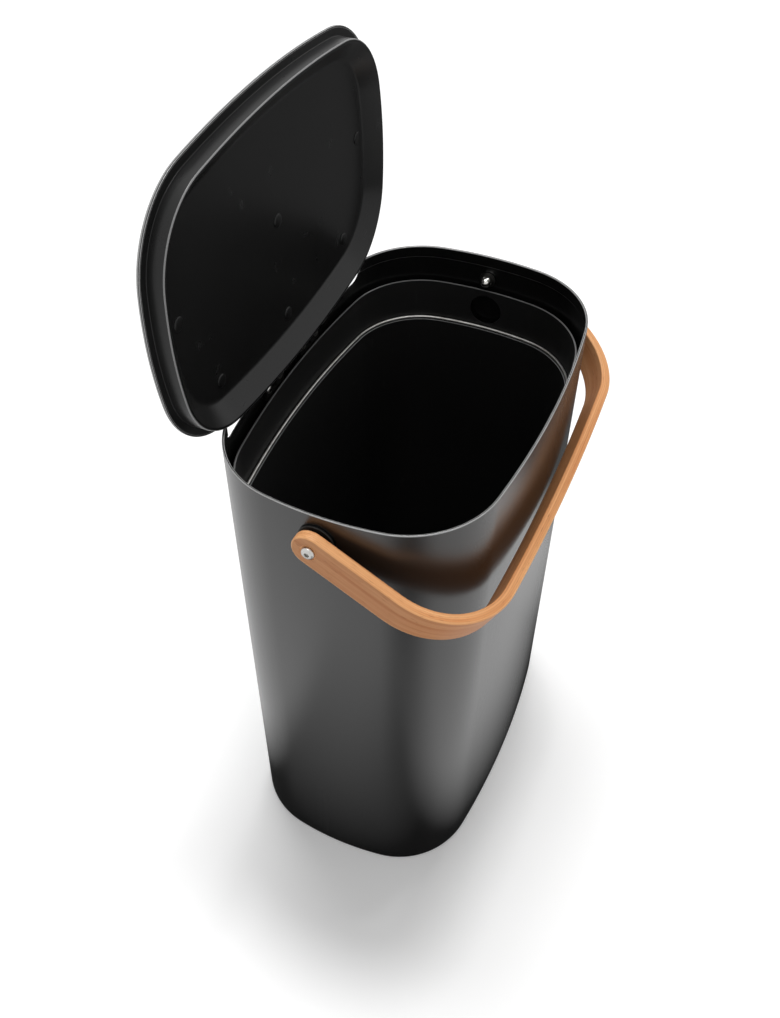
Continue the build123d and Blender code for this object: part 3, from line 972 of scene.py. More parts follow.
class LatheTree:
    """Geometry Nodes tree that turns a profile, mills its flats and sets one at every place.

    The profile is a column of points: x is the radius, z the height, and y tells how far the row
    is pulled to a hexagon, as the wall of a key socket is.
    """

    FLATS_INPUT = "Flats"
    SEGMENTS_INPUT = "Segments"
    PROFILE_INPUT = "Profile"
    FINISH_INPUT = "Finish"
    AIM_MARK = "aim"
    MERGE_REACH = 1e-6

    def __init__(self) -> None:
        """Build the tree."""
        self.tree = bpy.data.node_groups.new("turned_fasteners", "GeometryNodeTree")
        face = self.tree.interface
        face.new_socket("Places", in_out="INPUT", socket_type="NodeSocketGeometry")
        self.sockets = {}
        for name, kind in ((self.PROFILE_INPUT, "Object"), (self.SEGMENTS_INPUT, "Int"),
                           (self.FLATS_INPUT, "Float"), (self.FINISH_INPUT, "Material")):
            socket = face.new_socket(name, in_out="INPUT", socket_type="NodeSocket" + kind)
            self.sockets[name] = socket.identifier
        face.new_socket("Fasteners", in_out="OUTPUT", socket_type="NodeSocketGeometry")
        self.bench = Bench(self.tree)
        self.build()

    def build(self) -> None:
        """Add the tree's nodes."""
        bench = self.bench
        entry = bench.add("NodeGroupInput")
        wanted = {name: Reading(bench, entry.outputs[name]) for name in ("Places", *self.sockets)}
        segments = wanted[self.SEGMENTS_INPUT]
        profile = bench.read("GeometryNodeObjectInfo", {"transform_space": "ORIGINAL"},
                             {"Object": wanted[self.PROFILE_INPUT]}, "Geometry")
        rows = bench.read("GeometryNodeAttributeDomainSize", {"component": "MESH"},
                          {0: profile}, "Point Count")
        grid = {"Size X": 1.0, "Size Y": 1.0, "Vertices X": segments + 1.0, "Vertices Y": rows}
        blank = bench.read("GeometryNodeMeshGrid", None, grid, "Mesh")
        index = bench.read("GeometryNodeInputIndex")
        row = index % rows
        column = (index / rows).math("FLOOR")
        turn = column * math.tau / segments
        place = bench.read("GeometryNodeInputPosition")
        sample = bench.read("GeometryNodeSampleIndex",
                            {"data_type": "FLOAT_VECTOR", "domain": "POINT"},
                            {0: profile, "Value": place, "Index": row})
        radius, pull, height = bench.parts(sample)
        sixth = math.tau / 6
        lean = ((turn + sixth / 2) % sixth - sixth / 2).math("COSINE")
        milled = radius.math("MINIMUM", wanted[self.FLATS_INPUT] / lean)
        keyed = radius / lean
        reach = milled + (keyed - milled) * pull
        spoke = bench.read("ShaderNodeCombineXYZ", None,
                           {"X": reach * turn.math("COSINE"), "Y": reach * turn.math("SINE"),
                            "Z": height})
        body = bench.read("GeometryNodeSetPosition", None, {"Geometry": blank, "Position": spoke})
        aim = bench.read("GeometryNodeInputNamedAttribute", {"data_type": "FLOAT_VECTOR"},
                         {"Name": self.AIM_MARK})
        lay = bench.read("FunctionNodeAlignRotationToVector", {"axis": "Z"}, {"Vector": aim})
        several = bench.read("GeometryNodeInstanceOnPoints", None,
                             {"Points": wanted["Places"], "Instance": body, "Rotation": lay})
        real = bench.read("GeometryNodeRealizeInstances", None, {"Geometry": several})
        coated = bench.read("GeometryNodeSetMaterial", None,
                            {"Geometry": real, "Material": wanted[self.FINISH_INPUT]})
        bench.add("NodeGroupOutput", None, {0: coated})

    def turn(self, name: str, profile: Sequence[Corner], places: Sequence[tuple[Vector, Vector]],
             finish: bpy.types.Material, flats: float = 1000.0,
             segments: int = 48) -> bpy.types.Object:
        """Make a group of equal turned pieces.

        Args:
            name: The group's name.
            profile: Radius, pull to a hexagon and height of each row, in millimetres.
            places: Where each piece stands, in millimetres, and the way that it points.
            finish: Its material.
            flats: Half the distance across the milled flats, in millimetres; by default so far
                out that nothing is milled.
            segments: Facets round the piece, a multiple of six for milled pieces.

        Returns:
            The group as one plain mesh object.
        """
        blank = bpy.data.meshes.new(name + "_profile")
        rows = [(radius * MM, pull, height * MM) for radius, pull, height in profile]
        blank.from_pydata(rows, [], [])
        holder = placed(name + "_profile", blank)
        points = bpy.data.meshes.new(name)
        points.from_pydata([tuple(place * MM) for place, _ in places], [], [])
        aims = points.attributes.new(self.AIM_MARK, "FLOAT_VECTOR", "POINT")
        aims.data.foreach_set("vector", [number for _, way in places for number in way])
        group = placed(name, points)
        work = group.modifiers.new("lathe", "NODES")
        work.node_group = self.tree
        work[self.sockets[self.PROFILE_INPUT]] = holder
        work[self.sockets[self.SEGMENTS_INPUT]] = segments
        work[self.sockets[self.FLATS_INPUT]] = flats * MM
        work[self.sockets[self.FINISH_INPUT]] = finish
        settle(group)
        bpy.data.objects.remove(holder)
        bpy.data.meshes.remove(blank)
        tidy(group.data, self.MERGE_REACH)
        return group


def round_rows(points: Sequence[Point]) -> list[Corner]:
    """Lathe rows from radii and heights, with no pull to a hexagon."""
    return [(radius, 0.0, height) for radius, height in points]


def ring_rows(corners: Sequence[Corner], steps: int = 3, hold: float = 0.06) -> list[Corner]:
    """Rounded profile of a turned ring, joined to itself."""
    points = rounded(corners, steps, hold, closed=True)
    return round_rows(points + points[:1])


@dataclass(frozen=True)
class Finishes:
    """The materials of the whole bin."""

    coat: bpy.types.Material
    liner: bpy.types.Material
    clip: bpy.types.Material
    bucket: bpy.types.Material
    steel: bpy.types.Material
    dulled: bpy.types.Material
    ring: bpy.types.Material
    nut: bpy.types.Material
    wood: bpy.types.Material
    bush: bpy.types.Material

    @classmethod
    def mixed(cls) -> "Finishes":
        """Make every material once.

        Returns:
            The materials.
        """
        recipes = {
            "coat": PowderCoat(),
            "liner": MouldedPlastic("liner_plastic_finish", 0.013, 0.27,
                                    edge_highlight_level=0.34, index=1.36),
            "clip": MouldedPlastic("clip_plastic_finish", 0.010, 0.34,
                                   edge_highlight_level=0.012, index=1.36),
            "bucket": MouldedPlastic("bucket_plastic_finish", 0.016, edge_highlight_level=0.34),
            "steel": TurnedSteel(),
            "dulled": TurnedSteel("dulled_steel_finish", 0.05, 0.45),
            "ring": TurnedSteel("ring_wire_finish", 0.55, 0.32),
            "nut": TurnedSteel("nut_steel_finish", 0.66, 0.14),
            "wood": SteamedWood(),
            "bush": MouldedPlastic("bush_plastic_finish", 0.02, 0.36),
        }
        return cls(**{use: recipe.material() for use, recipe in recipes.items()})


@dataclass
class Sleeve:
    """Sheet-steel sleeve with a folded-in rim, and the base that closes it."""

    finishes: Finishes
    height: float = 400.0
    foot: float = 1.5
    sheet: float = 0.8
    hem: float = 1.6
    hem_depth: float = 9.0
    hem_flat: float = 0.05
    hem_end_round: float = 0.35
    foot_round: float = 0.3
    notch_half_width: float = 97.5
    notch_depth: float = 15.5
    notch_round: float = 8.0
    pivot_hole: float = 2.7
    rivet_hole: float = 1.65
    course: float = 28.0

    def profile(self) -> list[Point]:
        """Draw the wall's section, with support rings up its height.

        Returns:
            The closed profile: insets and levels.
        """
        rim = self.hem / 2 - self.hem_flat
        fold = self.height - self.hem_depth
        levels = np.arange(self.foot + self.course, fold - self.course / 2, self.course)
        outer = [(0.0, self.foot, self.foot_round)] + [(0.0, level, 0.0) for level in levels]
        top = [(0.0, self.height, rim), (self.hem, self.height, rim),
               (self.hem, fold, self.hem_end_round), (self.sheet, fold, 0.0)]
        inner = [(self.sheet, level, 0.0) for level in reversed(levels)]
        return rounded(outer + top + inner + [(self.sheet, self.foot, 0.0)], steps=6, closed=True)

    def notch(self) -> bpy.types.Object:
        """Make the tool for the cut-out in the back edge.

        Returns:
            The tool.
        """
        low = self.height - self.notch_depth
        half = self.notch_half_width
        over = self.height + self.notch_depth
        corners = [(-half, low, self.notch_round), (half, low, self.notch_round),
                   (half, over, 0.0), (-half, over, 0.0)]
        section = rounded(corners, steps=8, closed=True)
        depths = (PLAN.half_depth / 2, PLAN.half_depth * 2)
        return loft("tool", [np.array([(x, depth, z) for x, z in section]) for depth in depths])

    def build(self, pivot: Vector, rivets: Sequence[Vector]) -> None:
        """Make the sleeve and coat the base.

        Args:
            pivot: The handle pivot, in millimetres.
            rivets: The places of the rivets, in millimetres.
        """
        wall = moulding("sleeve_shell", self.profile(), closed=True)
        far = PLAN.through
        tools = [self.notch(),
                 rod(self.pivot_hole, (-far, pivot.y, pivot.z), (far, pivot.y, pivot.z))]
        for place in rivets:
            tools.append(rod(self.rivet_hole, (place.x, 0.0, place.z), (place.x, far, place.z),
                             sides=24))
        shaped(wall, tools, Cut.REMOVE)
        dressed(wall, "bin", Slot.POWDER_COAT, self.finishes.coat, "outer_body")
        combed(wall)
        recoated("base_plate", self.finishes.bucket)


@dataclass
class Bucket:
    """Moulded inner bucket and the wire ring that holds the bag."""

    finishes: Finishes
    floor: float = 3.1
    top: float = 372.7
    band_inset: float = 4.15
    band_wall: float = 1.2
    ledge: float = 338.8
    ledge_inner: float = 8.4
    ledge_sheet: float = 1.8
    wall: float = 1.5
    floor_sheet: float = 2.0
    bottom_round: float = 7.0
    edge_round: float = 0.5
    under_round: float = 0.6
    inner_round: float = 0.3
    finger_radius: float = 12.5
    finger_rise: float = 16.4
    wire: float = 1.1
    wire_sides: int = 14
    wire_gap: float = 0.3
    seat_gap: float = 0.1

    def profile(self) -> list[Point]:
        """Draw the bucket's section.

        Returns:
            The open profile, from the middle of the underside to the middle of the floor.
        """
        under = self.ledge - self.ledge_sheet
        inner_floor = self.floor + self.floor_sheet
        outer = self.ledge_inner - self.wall
        band, eased = self.band_inset + self.band_wall, self.edge_round
        corners = [(PLAN.heart, self.floor, 0.0), (outer, self.floor, self.bottom_round),
                   (outer, under, eased), (self.band_inset, under, self.under_round),
                   (self.band_inset, self.top, eased), (band, self.top, eased),
                   (band, self.ledge, self.inner_round), (self.ledge_inner, self.ledge, eased),
                   (self.ledge_inner, inner_floor, self.bottom_round - self.wall),
                   (PLAN.heart, inner_floor, 0.0)]
        return rounded(corners)

    def build(self) -> None:
        """Make the bucket and its ring."""
        shell = moulding("bucket_shell", self.profile())
        level = self.ledge + self.finger_rise
        far = PLAN.through
        finger_holes = rod(self.finger_radius, (-far, 0.0, level), (far, 0.0, level), sides=64)
        shaped(shell, [finger_holes], Cut.REMOVE)
        dressed(shell, "bucket", Slot.DARK_PLASTIC, self.finishes.bucket, "inner_bucket")
        combed(shell)
        middle = self.band_inset + self.band_wall + self.wire_gap + self.wire
        height = self.ledge + self.seat_gap + self.wire
        section = [(middle + x, height + z) for x, z in circle(self.wire, self.wire_sides)]
        ring = moulding("bag_ring_wire", section, closed=True)
        dressed(ring, "ring", Slot.BRIGHT_STEEL, self.finishes.ring, "bag_ring")


@dataclass
class Lid:
    """Pressed cover, moulded liner with its hinge block, and the push clips between them."""

    finishes: Finishes
    lathe: LatheTree
    top: float = 403.4
    rim: float = 400.5
    cover_inset: float = 0.23
    cover_sheet: float = 1.0
    cover_round: float = 2.2
    rim_round: float = 0.3
    fit_gap: float = 0.1
    lip: float = 400.7
    lip_round: float = 0.25
    lip_inner_round: float = 0.4
    plate: float = 2.4
    flange_inset: float = 6.5
    flange_depth: float = 13.6
    flange_edge: float = 2.0
    flange_round: float = 0.8
    cove_run: float = 14.5
    cove_round: float = 5.0
    hinge_inset: float = 8.65
    hinge_level: float = 394.45
    opening: float = 92.0
    block_half_width: float = 38.0
    block_reach: float = 3.6
    block_round: float = 0.5
    hinge_x: float = ARM_X
    slot_half_width: float = 2.4
    slot_round: float = 2.8
    slot_leg: float = 2.7
    slot_drop: float = 2.3
    slot_reach: float = 13.65
    overlap: float = 0.02
    pin_bore: float = 1.27
    pin_length: float = 23.0
    pin_over: float = 0.5
    clip_spots: Sequence[Point] = ((116.0, -5.0), (86.0, 57.0), (-116.0, -5.0), (-86.0, 57.0),
                                   (0.0, 64.0), (0.0, -5.0))
    clip_radius: float = 4.5
    clip_height: float = 1.3
    clip_rim: float = 0.3
    clip_stem: float = 1.8
    clip_bore_depth: float = 5.0

    @property
    def plate_top(self) -> float:
        """Level of the liner's upper face on the closed lid."""
        return self.top - self.cover_sheet - self.fit_gap

    @property
    def underside(self) -> float:
        """Level of the liner's plain underside on the closed lid."""
        return self.plate_top - self.plate

    @property
    def hinge(self) -> Vector:
        """The middle of the hinge axis."""
        return Vector((0.0, PLAN.half_depth - self.hinge_inset, self.hinge_level))

    @property
    def lay(self) -> Matrix:
        """The turn from the closed lid to the open stop.

        Returns:
            The turn, about the hinge axis, in metres.
        """
        hinge = self.hinge * MM
        turn = Matrix.Rotation(math.radians(-self.opening), 4, "X")
        return Matrix.Translation(hinge) @ turn @ Matrix.Translation(-hinge)

    def opened(self, piece: bpy.types.Object) -> None:
        """Turn a piece made on the closed lid to the open stop."""
        piece.data.transform(self.lay)

    def cover(self) -> None:
        """Make the cover."""
        inner = self.cover_inset + self.cover_sheet
        ceiling = self.top - self.cover_sheet
        corners = [(PLAN.heart, self.top, 0.0), (self.cover_inset, self.top, self.cover_round),
                   (self.cover_inset, self.rim, self.rim_round), (inner, self.rim, self.rim_round),
                   (inner, ceiling, self.cover_round - self.cover_sheet),
                   (PLAN.heart, ceiling, 0.0)]
        piece = moulding("lid_cover_shell", rounded(corners, steps=6))
        self.opened(piece)
        dressed(piece, "lid", Slot.POWDER_COAT, self.finishes.coat, "lid_cover")
        combed(piece, self.lay)

    def liner_profile(self) -> list[Point]:
        """Draw the liner's section on the closed lid.

        Returns:
            The open profile, from the middle of its top to the middle of its underside.
        """
        edge = self.top - self.flange_depth
        inset = self.cover_inset + self.cover_sheet + self.fit_gap
        corners = [(PLAN.heart, self.plate_top, 0.0),
                   (inset, self.plate_top, self.cover_round - self.cover_sheet),
                   (inset, self.lip, self.lip_round),
                   (self.flange_inset, self.lip, self.lip_inner_round),
                   (self.flange_inset, edge, self.flange_round),
                   (self.flange_inset + self.flange_edge, edge, self.flange_round),
                   (self.flange_inset + self.cove_run, self.underside, self.cove_round),
                   (PLAN.heart, self.underside, 0.0)]
        return rounded(corners, steps=7)

    def slot_tools(self, side: int) -> list[bpy.types.Object]:
        """Make the tools for one arm's slot and one pin's bore.

        Args:
            side: 1 for the arm at +X, -1 for the arm at -X.

        Returns:
            The tools.
        """
        middle = self.hinge_x * side
        low, high = middle - self.slot_half_width, middle + self.slot_half_width
        y, z = self.hinge.y, self.hinge.z
        outer, over = y + self.slot_reach, self.overlap
        pin_end = (self.block_half_width + self.pin_over) * side
        pin_start = (self.block_half_width - self.pin_length) * side
        return [rod(self.slot_round, (low, y, z), (high, y, z)),
                brick((low, y - self.slot_round, z), (high, outer, self.underside + over)),
                brick((low, y + self.slot_leg, z - self.slot_reach), (high, outer, z + over)),
                brick((low, y, z - self.slot_drop), (high, y + self.slot_leg + over, z + over)),
                rod(self.pin_bore, (pin_start, y, z), (pin_end, y, z), sides=32)]

    def liner(self) -> None:
        """Make the liner."""
        piece = moulding("lid_liner_moulding", self.liner_profile())
        y, z = self.hinge.y, self.hinge.z
        half = self.block_half_width
        block = brick((-half, y, z - self.block_reach), (half, y + self.block_reach, self.lip),
                      self.block_round)
        shaped(piece, [block], Cut.ADD)
        tools = self.slot_tools(1) + self.slot_tools(-1)
        low = self.underside - self.clip_bore_depth
        for x, y in self.clip_spots:
            tools.append(rod(self.clip_stem + self.fit_gap, (x, y, low), (x, y, self.top),
                             sides=24))
        shaped(piece, tools, Cut.REMOVE)
        tidy(piece.data)
        self.opened(piece)
        dressed(piece, "lid", Slot.DARK_PLASTIC, self.finishes.liner, "lid_liner")
        combed(piece, self.lay)

    def clips(self) -> None:
        """Make the push clips, measured from the liner's underside and pointing down."""
        top = self.plate_top - self.underside
        dome = [(self.clip_radius * sine,
                 self.clip_height * (self.clip_rim + (1.0 - self.clip_rim) * cosine))
                for sine, cosine in quarter_turn(steps=7)]
        rows = round_rows(dome + [(self.clip_radius, 0.0), (self.clip_stem, 0.0),
                                  (self.clip_stem, -top), (0.0, -top)])
        places = [(Vector((x, y, self.underside)), Vector((0.0, 0.0, -1.0)))
                  for x, y in self.clip_spots]
        piece = self.lathe.turn("lid_push_clips", rows, places, self.finishes.clip, segments=40)
        self.opened(piece)
        dressed(piece, "lid", Slot.DARK_PLASTIC, self.finishes.clip, "lid_clips")

    def build(self) -> None:
        """Make the whole lid and coat its hinge pins."""
        self.cover()
        self.liner()
        self.clips()
        for side in SIDES:
            recoated("hinge_pin_" + side, self.finishes.steel)


@dataclass
class HingeFixing:
    """Gooseneck arms on the back wall and their rivets."""

    finishes: Finishes
    lathe: LatheTree
    hinge_x: float = ARM_X
    spacing: float = 17.0
    level: float = 377.5
    head_radius: float = 2.8
    head_height: float = 1.1
    head_seat: float = 0.12
    head_under: float = 0.05
    stem_radius: float = 1.6
    stack: float = 2.75

    def places(self) -> list[Vector]:
        """The middle of each rivet's outer seat."""
        across = [middle + side * self.spacing / 2
                  for middle in (-self.hinge_x, self.hinge_x) for side in (-1, 1)]
        return [Vector((x, PLAN.back(x) + self.head_seat, self.level)) for x in across]

    def build(self) -> None:
        """Make the rivets and coat the arms."""
        outer = [(self.head_radius * sine, self.head_height * cosine)
                 for sine, cosine in quarter_turn(steps=6)]
        shank = [(self.head_radius, 0.0), (self.stem_radius, -self.head_under),
                 (self.stem_radius, -self.stack)]
        inner = [(radius, -self.stack - height) for radius, height in reversed(outer)]
        ways = [(place, Vector((0.0, 1.0, 0.0))) for place in self.places()]
        piece = self.lathe.turn("back_wall_rivets", round_rows(outer + shank + inner), ways,
                                self.finishes.steel, segments=32)
        dressed(piece, "bin", Slot.BRIGHT_STEEL, self.finishes.steel, "bracket_rivets")
        for side in SIDES:
            recoated("hinge_bracket_" + side, self.finishes.dulled)


@dataclass
class Pivots:
    """Screws, washers and dome nuts of the handle's two pivots."""

    finishes: Finishes
    lathe: LatheTree
    y: float = 1.5
    z: float = 380.0
    head_radius: float = 4.4
    head_height: float = 2.6
    head_rim: float = 0.5
    head_ease: float = 0.1
    head_flat: float = 1.35
    socket: float = 1.5
    socket_depth: float = 1.5
    socket_cone: float = 0.35
    socket_lead: float = 0.12
    screw_radius: float = 2.5
    screw_point: float = 0.3
    screw_gap: float = 0.1
    washer_radius: float = 11.9
    washer_sheet: float = 1.5
    washer_round: float = 0.35
    inner_radius: float = 6.0
    inner_sheet: float = 1.0
    inner_round: float = 0.2
    hole: float = 2.7
    hole_round: float = 0.12
    flats: float = 4.0
    hex_height: float = 4.0
    hex_bevel: float = 0.45
    hex_top_bevel: float = 0.585
    dome_radius: float = 3.7
    dome_step: float = 0.25
    thread_depth: float = 5.4
    thread_lead: float = 0.3
    corner_radius: float = 4.45
    corner_over: float = 0.2

    @property
    def point(self) -> Vector:
        """The pivot at the middle of the bin."""
        return Vector((0.0, self.y, self.z))

    def sides(self, x: float, inward: bool = False) -> list[tuple[Vector, Vector]]:
        """The two places at a distance from the middle, with the way that each piece points."""
        way = -1.0 if inward else 1.0
        return [(Vector((side * x, self.y, self.z)), Vector((side * way, 0.0, 0.0)))
                for side in (1.0, -1.0)]

    def screws(self) -> None:
        """Make the button-head screws, measured from the top of the head.

        A row's middle number pulls it to the key socket's hexagon.
        """
        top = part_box("pivot_screws")[1].x / MM
        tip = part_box("acorn_nuts")[1].x / MM - self.thread_depth + self.screw_gap - top
        floor, low = -self.socket_depth, -self.head_height
        # Half the distance across the key socket's flats, a hair under its nominal size.
        wall = self.socket * 0.999
        key = [(0.0, 0.0, floor - self.socket_cone), (self.socket * 0.75, 0.6, floor),
               (wall, 1.0, floor), (wall, 1.0, -self.socket_lead), (self.socket * 1.1, 1.0, 0.0)]
        flat = self.socket * self.head_flat
        bulge = self.head_height - self.head_rim
        button = [(flat + (self.head_radius - flat) * sine, -bulge * (1 - cosine))
                  for sine, cosine in quarter_turn(steps=8)]
        shank = [(self.head_radius, low + self.head_ease), (self.head_radius - self.head_ease, low),
                 (self.screw_radius, low), (self.screw_radius, tip + self.screw_point),
                 (self.screw_radius - self.screw_point, tip), (0.0, tip)]
        piece = self.lathe.turn("button_head_screws", key + round_rows(button + shank),
                                self.sides(top), self.finishes.steel)
        dressed(piece, "bin", Slot.BRIGHT_STEEL, self.finishes.steel, "pivot_screws")

    def washers(self) -> None:
        """Make the wide outer and the small inner washers, measured from their outer faces."""
        kinds = (("wide_washers", "pivot_washers",
                  self.washer_radius, self.washer_sheet, self.washer_round),
                 ("small_washers", "inner_washers",
                  self.inner_radius, self.inner_sheet, self.inner_round))
        for name, node, radius, sheet, rounding in kinds:
            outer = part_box(node)[1].x / MM
            corners = [(self.hole, 0.0, self.hole_round), (radius, 0.0, rounding),
                       (radius, -sheet, rounding), (self.hole, -sheet, self.hole_round)]
            piece = self.lathe.turn(name, ring_rows(corners), self.sides(outer),
                                    self.finishes.dulled, segments=72)
            dressed(piece, "bin", Slot.BRIGHT_STEEL, self.finishes.dulled, node)

    def nuts(self) -> None:
        """Make the dome nuts, measured from their seats and pointing inwards."""
        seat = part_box("acorn_nuts")[1].x / MM
        bevel, wide = self.hex_bevel, self.corner_radius + self.corner_over
        points = [(0.0, self.thread_depth), (self.screw_radius, self.thread_depth),
                  (self.screw_radius, self.thread_lead),
                  (self.screw_radius + self.thread_lead, 0.0),
                  (self.corner_radius - bevel, 0.0), (wide, bevel),
                  (wide, self.hex_height - self.hex_top_bevel),
                  (self.dome_radius + self.dome_step, self.hex_height)]
        points += [(self.dome_radius * cosine, self.hex_height + self.dome_radius * sine)
                   for sine, cosine in quarter_turn(steps=9)]
        piece = self.lathe.turn("dome_nuts", round_rows(points), self.sides(seat, inward=True),
                                self.finishes.nut, self.flats)
        dressed(piece, "bin", Slot.NUT_STEEL, self.finishes.nut, "acorn_nuts")

    def build(self) -> None:
        """Make every fastener of the pivots."""
        self.screws()
        self.washers()
        self.nuts()


@dataclass
class Handle:
    """Bent wooden strip and the bushes in its ends."""

    finishes: Finishes
    lathe: LatheTree
    pivots: Pivots
    thickness: float = 7.1
    width: float = 23.4
    arm_half_spacing: float = 151.8
    bend_half_spacing: float = 156.1
    length: float = 117.63
    bend_radius: float = 55.7
    bow: float = 6.5
    edge_round: float = 1.3
    run_steps: int = 150
    end_steps: int = 22
    rest_gap: float = 0.5
    spot_radius: float = 5.5
    spot_depth: float = 0.4
    bore_gap: float = 0.05
    bush_radius: float = 4.0
    bush_flange_radius: float = 8.0
    bush_flange: float = 1.8
    bush_flange_round: float = 0.4
    bush_round: float = 0.3
    bush_bore: float = 2.56
    bush_bore_round: float = 0.2

    @property
    def hang(self) -> float:
        """The slope at which the bar rests near the front wall.

        Returns:
            The angle below level, in radians.
        """
        reach = self.length - self.thickness / 2
        edge = math.hypot(reach, self.width / 2)
        lean = math.atan2(self.width / 2, reach)
        return math.acos((PLAN.half_depth + self.pivots.y + self.rest_gap) / edge) - lean

    def path(self) -> tuple[float, list[Stretch]]:
        """Lay out the level strip's middle line, from one rounded end to the middle of the bar.

        Returns:
            Its length, and for each stretch its length, its start and its guide: the direction of
            the straight run, or the centre of an arc.
        """
        arm_end = Vector((self.bend_half_spacing, self.length - self.bow))
        pivot = Vector((self.arm_half_spacing, 0.0))
        along = (arm_end - pivot).normalized()
        inward = Vector((-along.y, along.x))
        bar_radius = (self.bend_half_spacing**2 + self.bow**2) / (2 * self.bow)
        bar_centre = Vector((0.0, self.length - bar_radius))
        start = pivot + inward * self.bend_radius - bar_centre
        forward = start.dot(along)
        rest = start.length_squared - (bar_radius - self.bend_radius)**2
        travel = -forward + math.sqrt(forward**2 - rest)
        bend = start + along * travel + bar_centre
        tip = pivot - along * self.width / 2
        bend_start = bend - inward * self.bend_radius
        bend_end = bar_centre + (bend - bar_centre).normalized() * bar_radius
        straight = (bend_start - tip).length
        turn = (bend_start - bend).angle(bend_end - bend)
        bar = math.atan2(bend_end.x, bend_end.y - bar_centre.y) * bar_radius
        stretches = [(straight, tip, along), (turn * self.bend_radius, bend_start, bend),
                     (bar, bend_end, bar_centre)]
        return straight + turn * self.bend_radius + bar, stretches

    def bent(self, flat: Vector, half: float, stretches: Sequence[Stretch]) -> Vector:
        """Carry a point of the flat blank onto the bent strip.

        Args:
            flat: Length, width and depth on the blank.
            half: Length of half the strip.
            stretches: The stretches of the middle line.

        Returns:
            The point on the level handle.
        """
        side = 1.0 if flat.x <= half else -1.0
        run = flat.x if flat.x <= half else 2 * half - flat.x
        for number, (length, start, guide) in enumerate(stretches):
            if run <= length or number == len(stretches) - 1:
                break
            run -= length
        if number == 0:
            place = start + guide * run
            outward = Vector((guide.y, -guide.x))
        else:
            arm = start - guide
            turned = Matrix.Rotation(run / arm.length, 2) @ arm
            place = guide + turned
            outward = turned.normalized()
        spot = place + outward * flat.z
        return Vector((side * spot.x, -spot.y, flat.y))

    def blank(self, length: float) -> bpy.types.Object:
        """Make the flat strip, with round ends and eased edges: x is length, y width, z depth.

        Args:
            length: The strip's whole length.

        Returns:
            The blank.
        """
        half_width, half_depth, eased = self.width / 2, self.thickness / 2, self.edge_round
        # Two support rows on the flat come before the eased edge.
        upper = [(half_width, half_depth), (half_width * 0.6, half_depth),
                 (eased + 0.4, half_depth)]
        upper += [(eased * (1 - cosine), half_depth - eased * (1 - sine))
                  for sine, cosine in reversed(quarter_turn(steps=5))]
        profile = upper + [(inset, -depth) for inset, depth in reversed(upper)]
        run = length - self.width
        rings = []
        far = length - half_width
        for inset, depth in profile:
            reach = half_width - inset
            ring = []
            for way, start, middle in ((1, half_width, far), (-1, far, half_width)):
                for column in range(self.run_steps):
                    ring.append((start + way * (run * column / self.run_steps), way * reach, depth))
                for step in range(self.end_steps):
                    turn = way * QUARTER_TURN - math.pi * step / self.end_steps
                    ring.append((middle + reach * math.cos(turn), reach * math.sin(turn), depth))
            rings.append(np.array(ring))
        return loft("bent_strip", rings, capped=False)

    def strip(self) -> None:
        """Make the strip: blank, drill, bend, hang."""
        half, stretches = self.path()
        piece = self.blank(half * 2)
        outer = self.thickness / 2
        tools = []
        for centre in (self.width / 2, half * 2 - self.width / 2):
            for radius, low in ((self.bush_radius + self.bore_gap, -outer * 3),
                                (self.spot_radius, outer - self.spot_depth)):
                tools.append(rod(radius, (centre, 0.0, low), (centre, 0.0, outer * 3)))
        shaped(piece, tools, Cut.REMOVE)
        tidy(piece.data)
        mesh = piece.data
        grain = mesh.attributes.new(GRAIN_MARK, "FLOAT_VECTOR", "POINT")
        places = [number for vertex in mesh.vertices for number in vertex.co]
        grain.data.foreach_set("vector", places)
        for vertex in mesh.vertices:
            vertex.co = self.bent(vertex.co / MM, half, stretches) * MM
        self.hung(piece)
        tidy(mesh)
        dressed(piece, "handle", Slot.BENT_WOOD, self.finishes.wood, "handle_strip")

    def hung(self, piece: bpy.types.Object) -> None:
        """Turn a level piece about the pivots to where the handle rests."""
        turn = Matrix.Rotation(self.hang, 4, "X")
        piece.data.transform(Matrix.Translation(self.pivots.point * MM) @ turn)

    def bushes(self) -> None:
        """Make the flanged bushes, measured from the strip's inner face and pointing outwards."""
        seat = self.arm_half_spacing - self.thickness / 2
        tip = self.thickness - self.spot_depth
        flange, eased, mouth = self.bush_flange_radius, self.bush_round, self.bush_bore_round
        corners = [(self.bush_bore, -self.bush_flange, mouth),
                   (flange, -self.bush_flange, self.bush_flange_round),
                   (flange, 0.0, eased), (self.bush_radius, 0.0, 0.0),
                   (self.bush_radius, tip, eased), (self.bush_bore, tip, mouth)]
        piece = self.lathe.turn("pivot_bushes", ring_rows(corners), self.pivots.sides(seat),
                                self.finishes.bush)
        dressed(piece, "handle", Slot.BUSH_PLASTIC, self.finishes.bush, "handle_bushes")

    def build(self) -> None:
        """Make the whole handle."""
        self.strip()
        self.bushes()


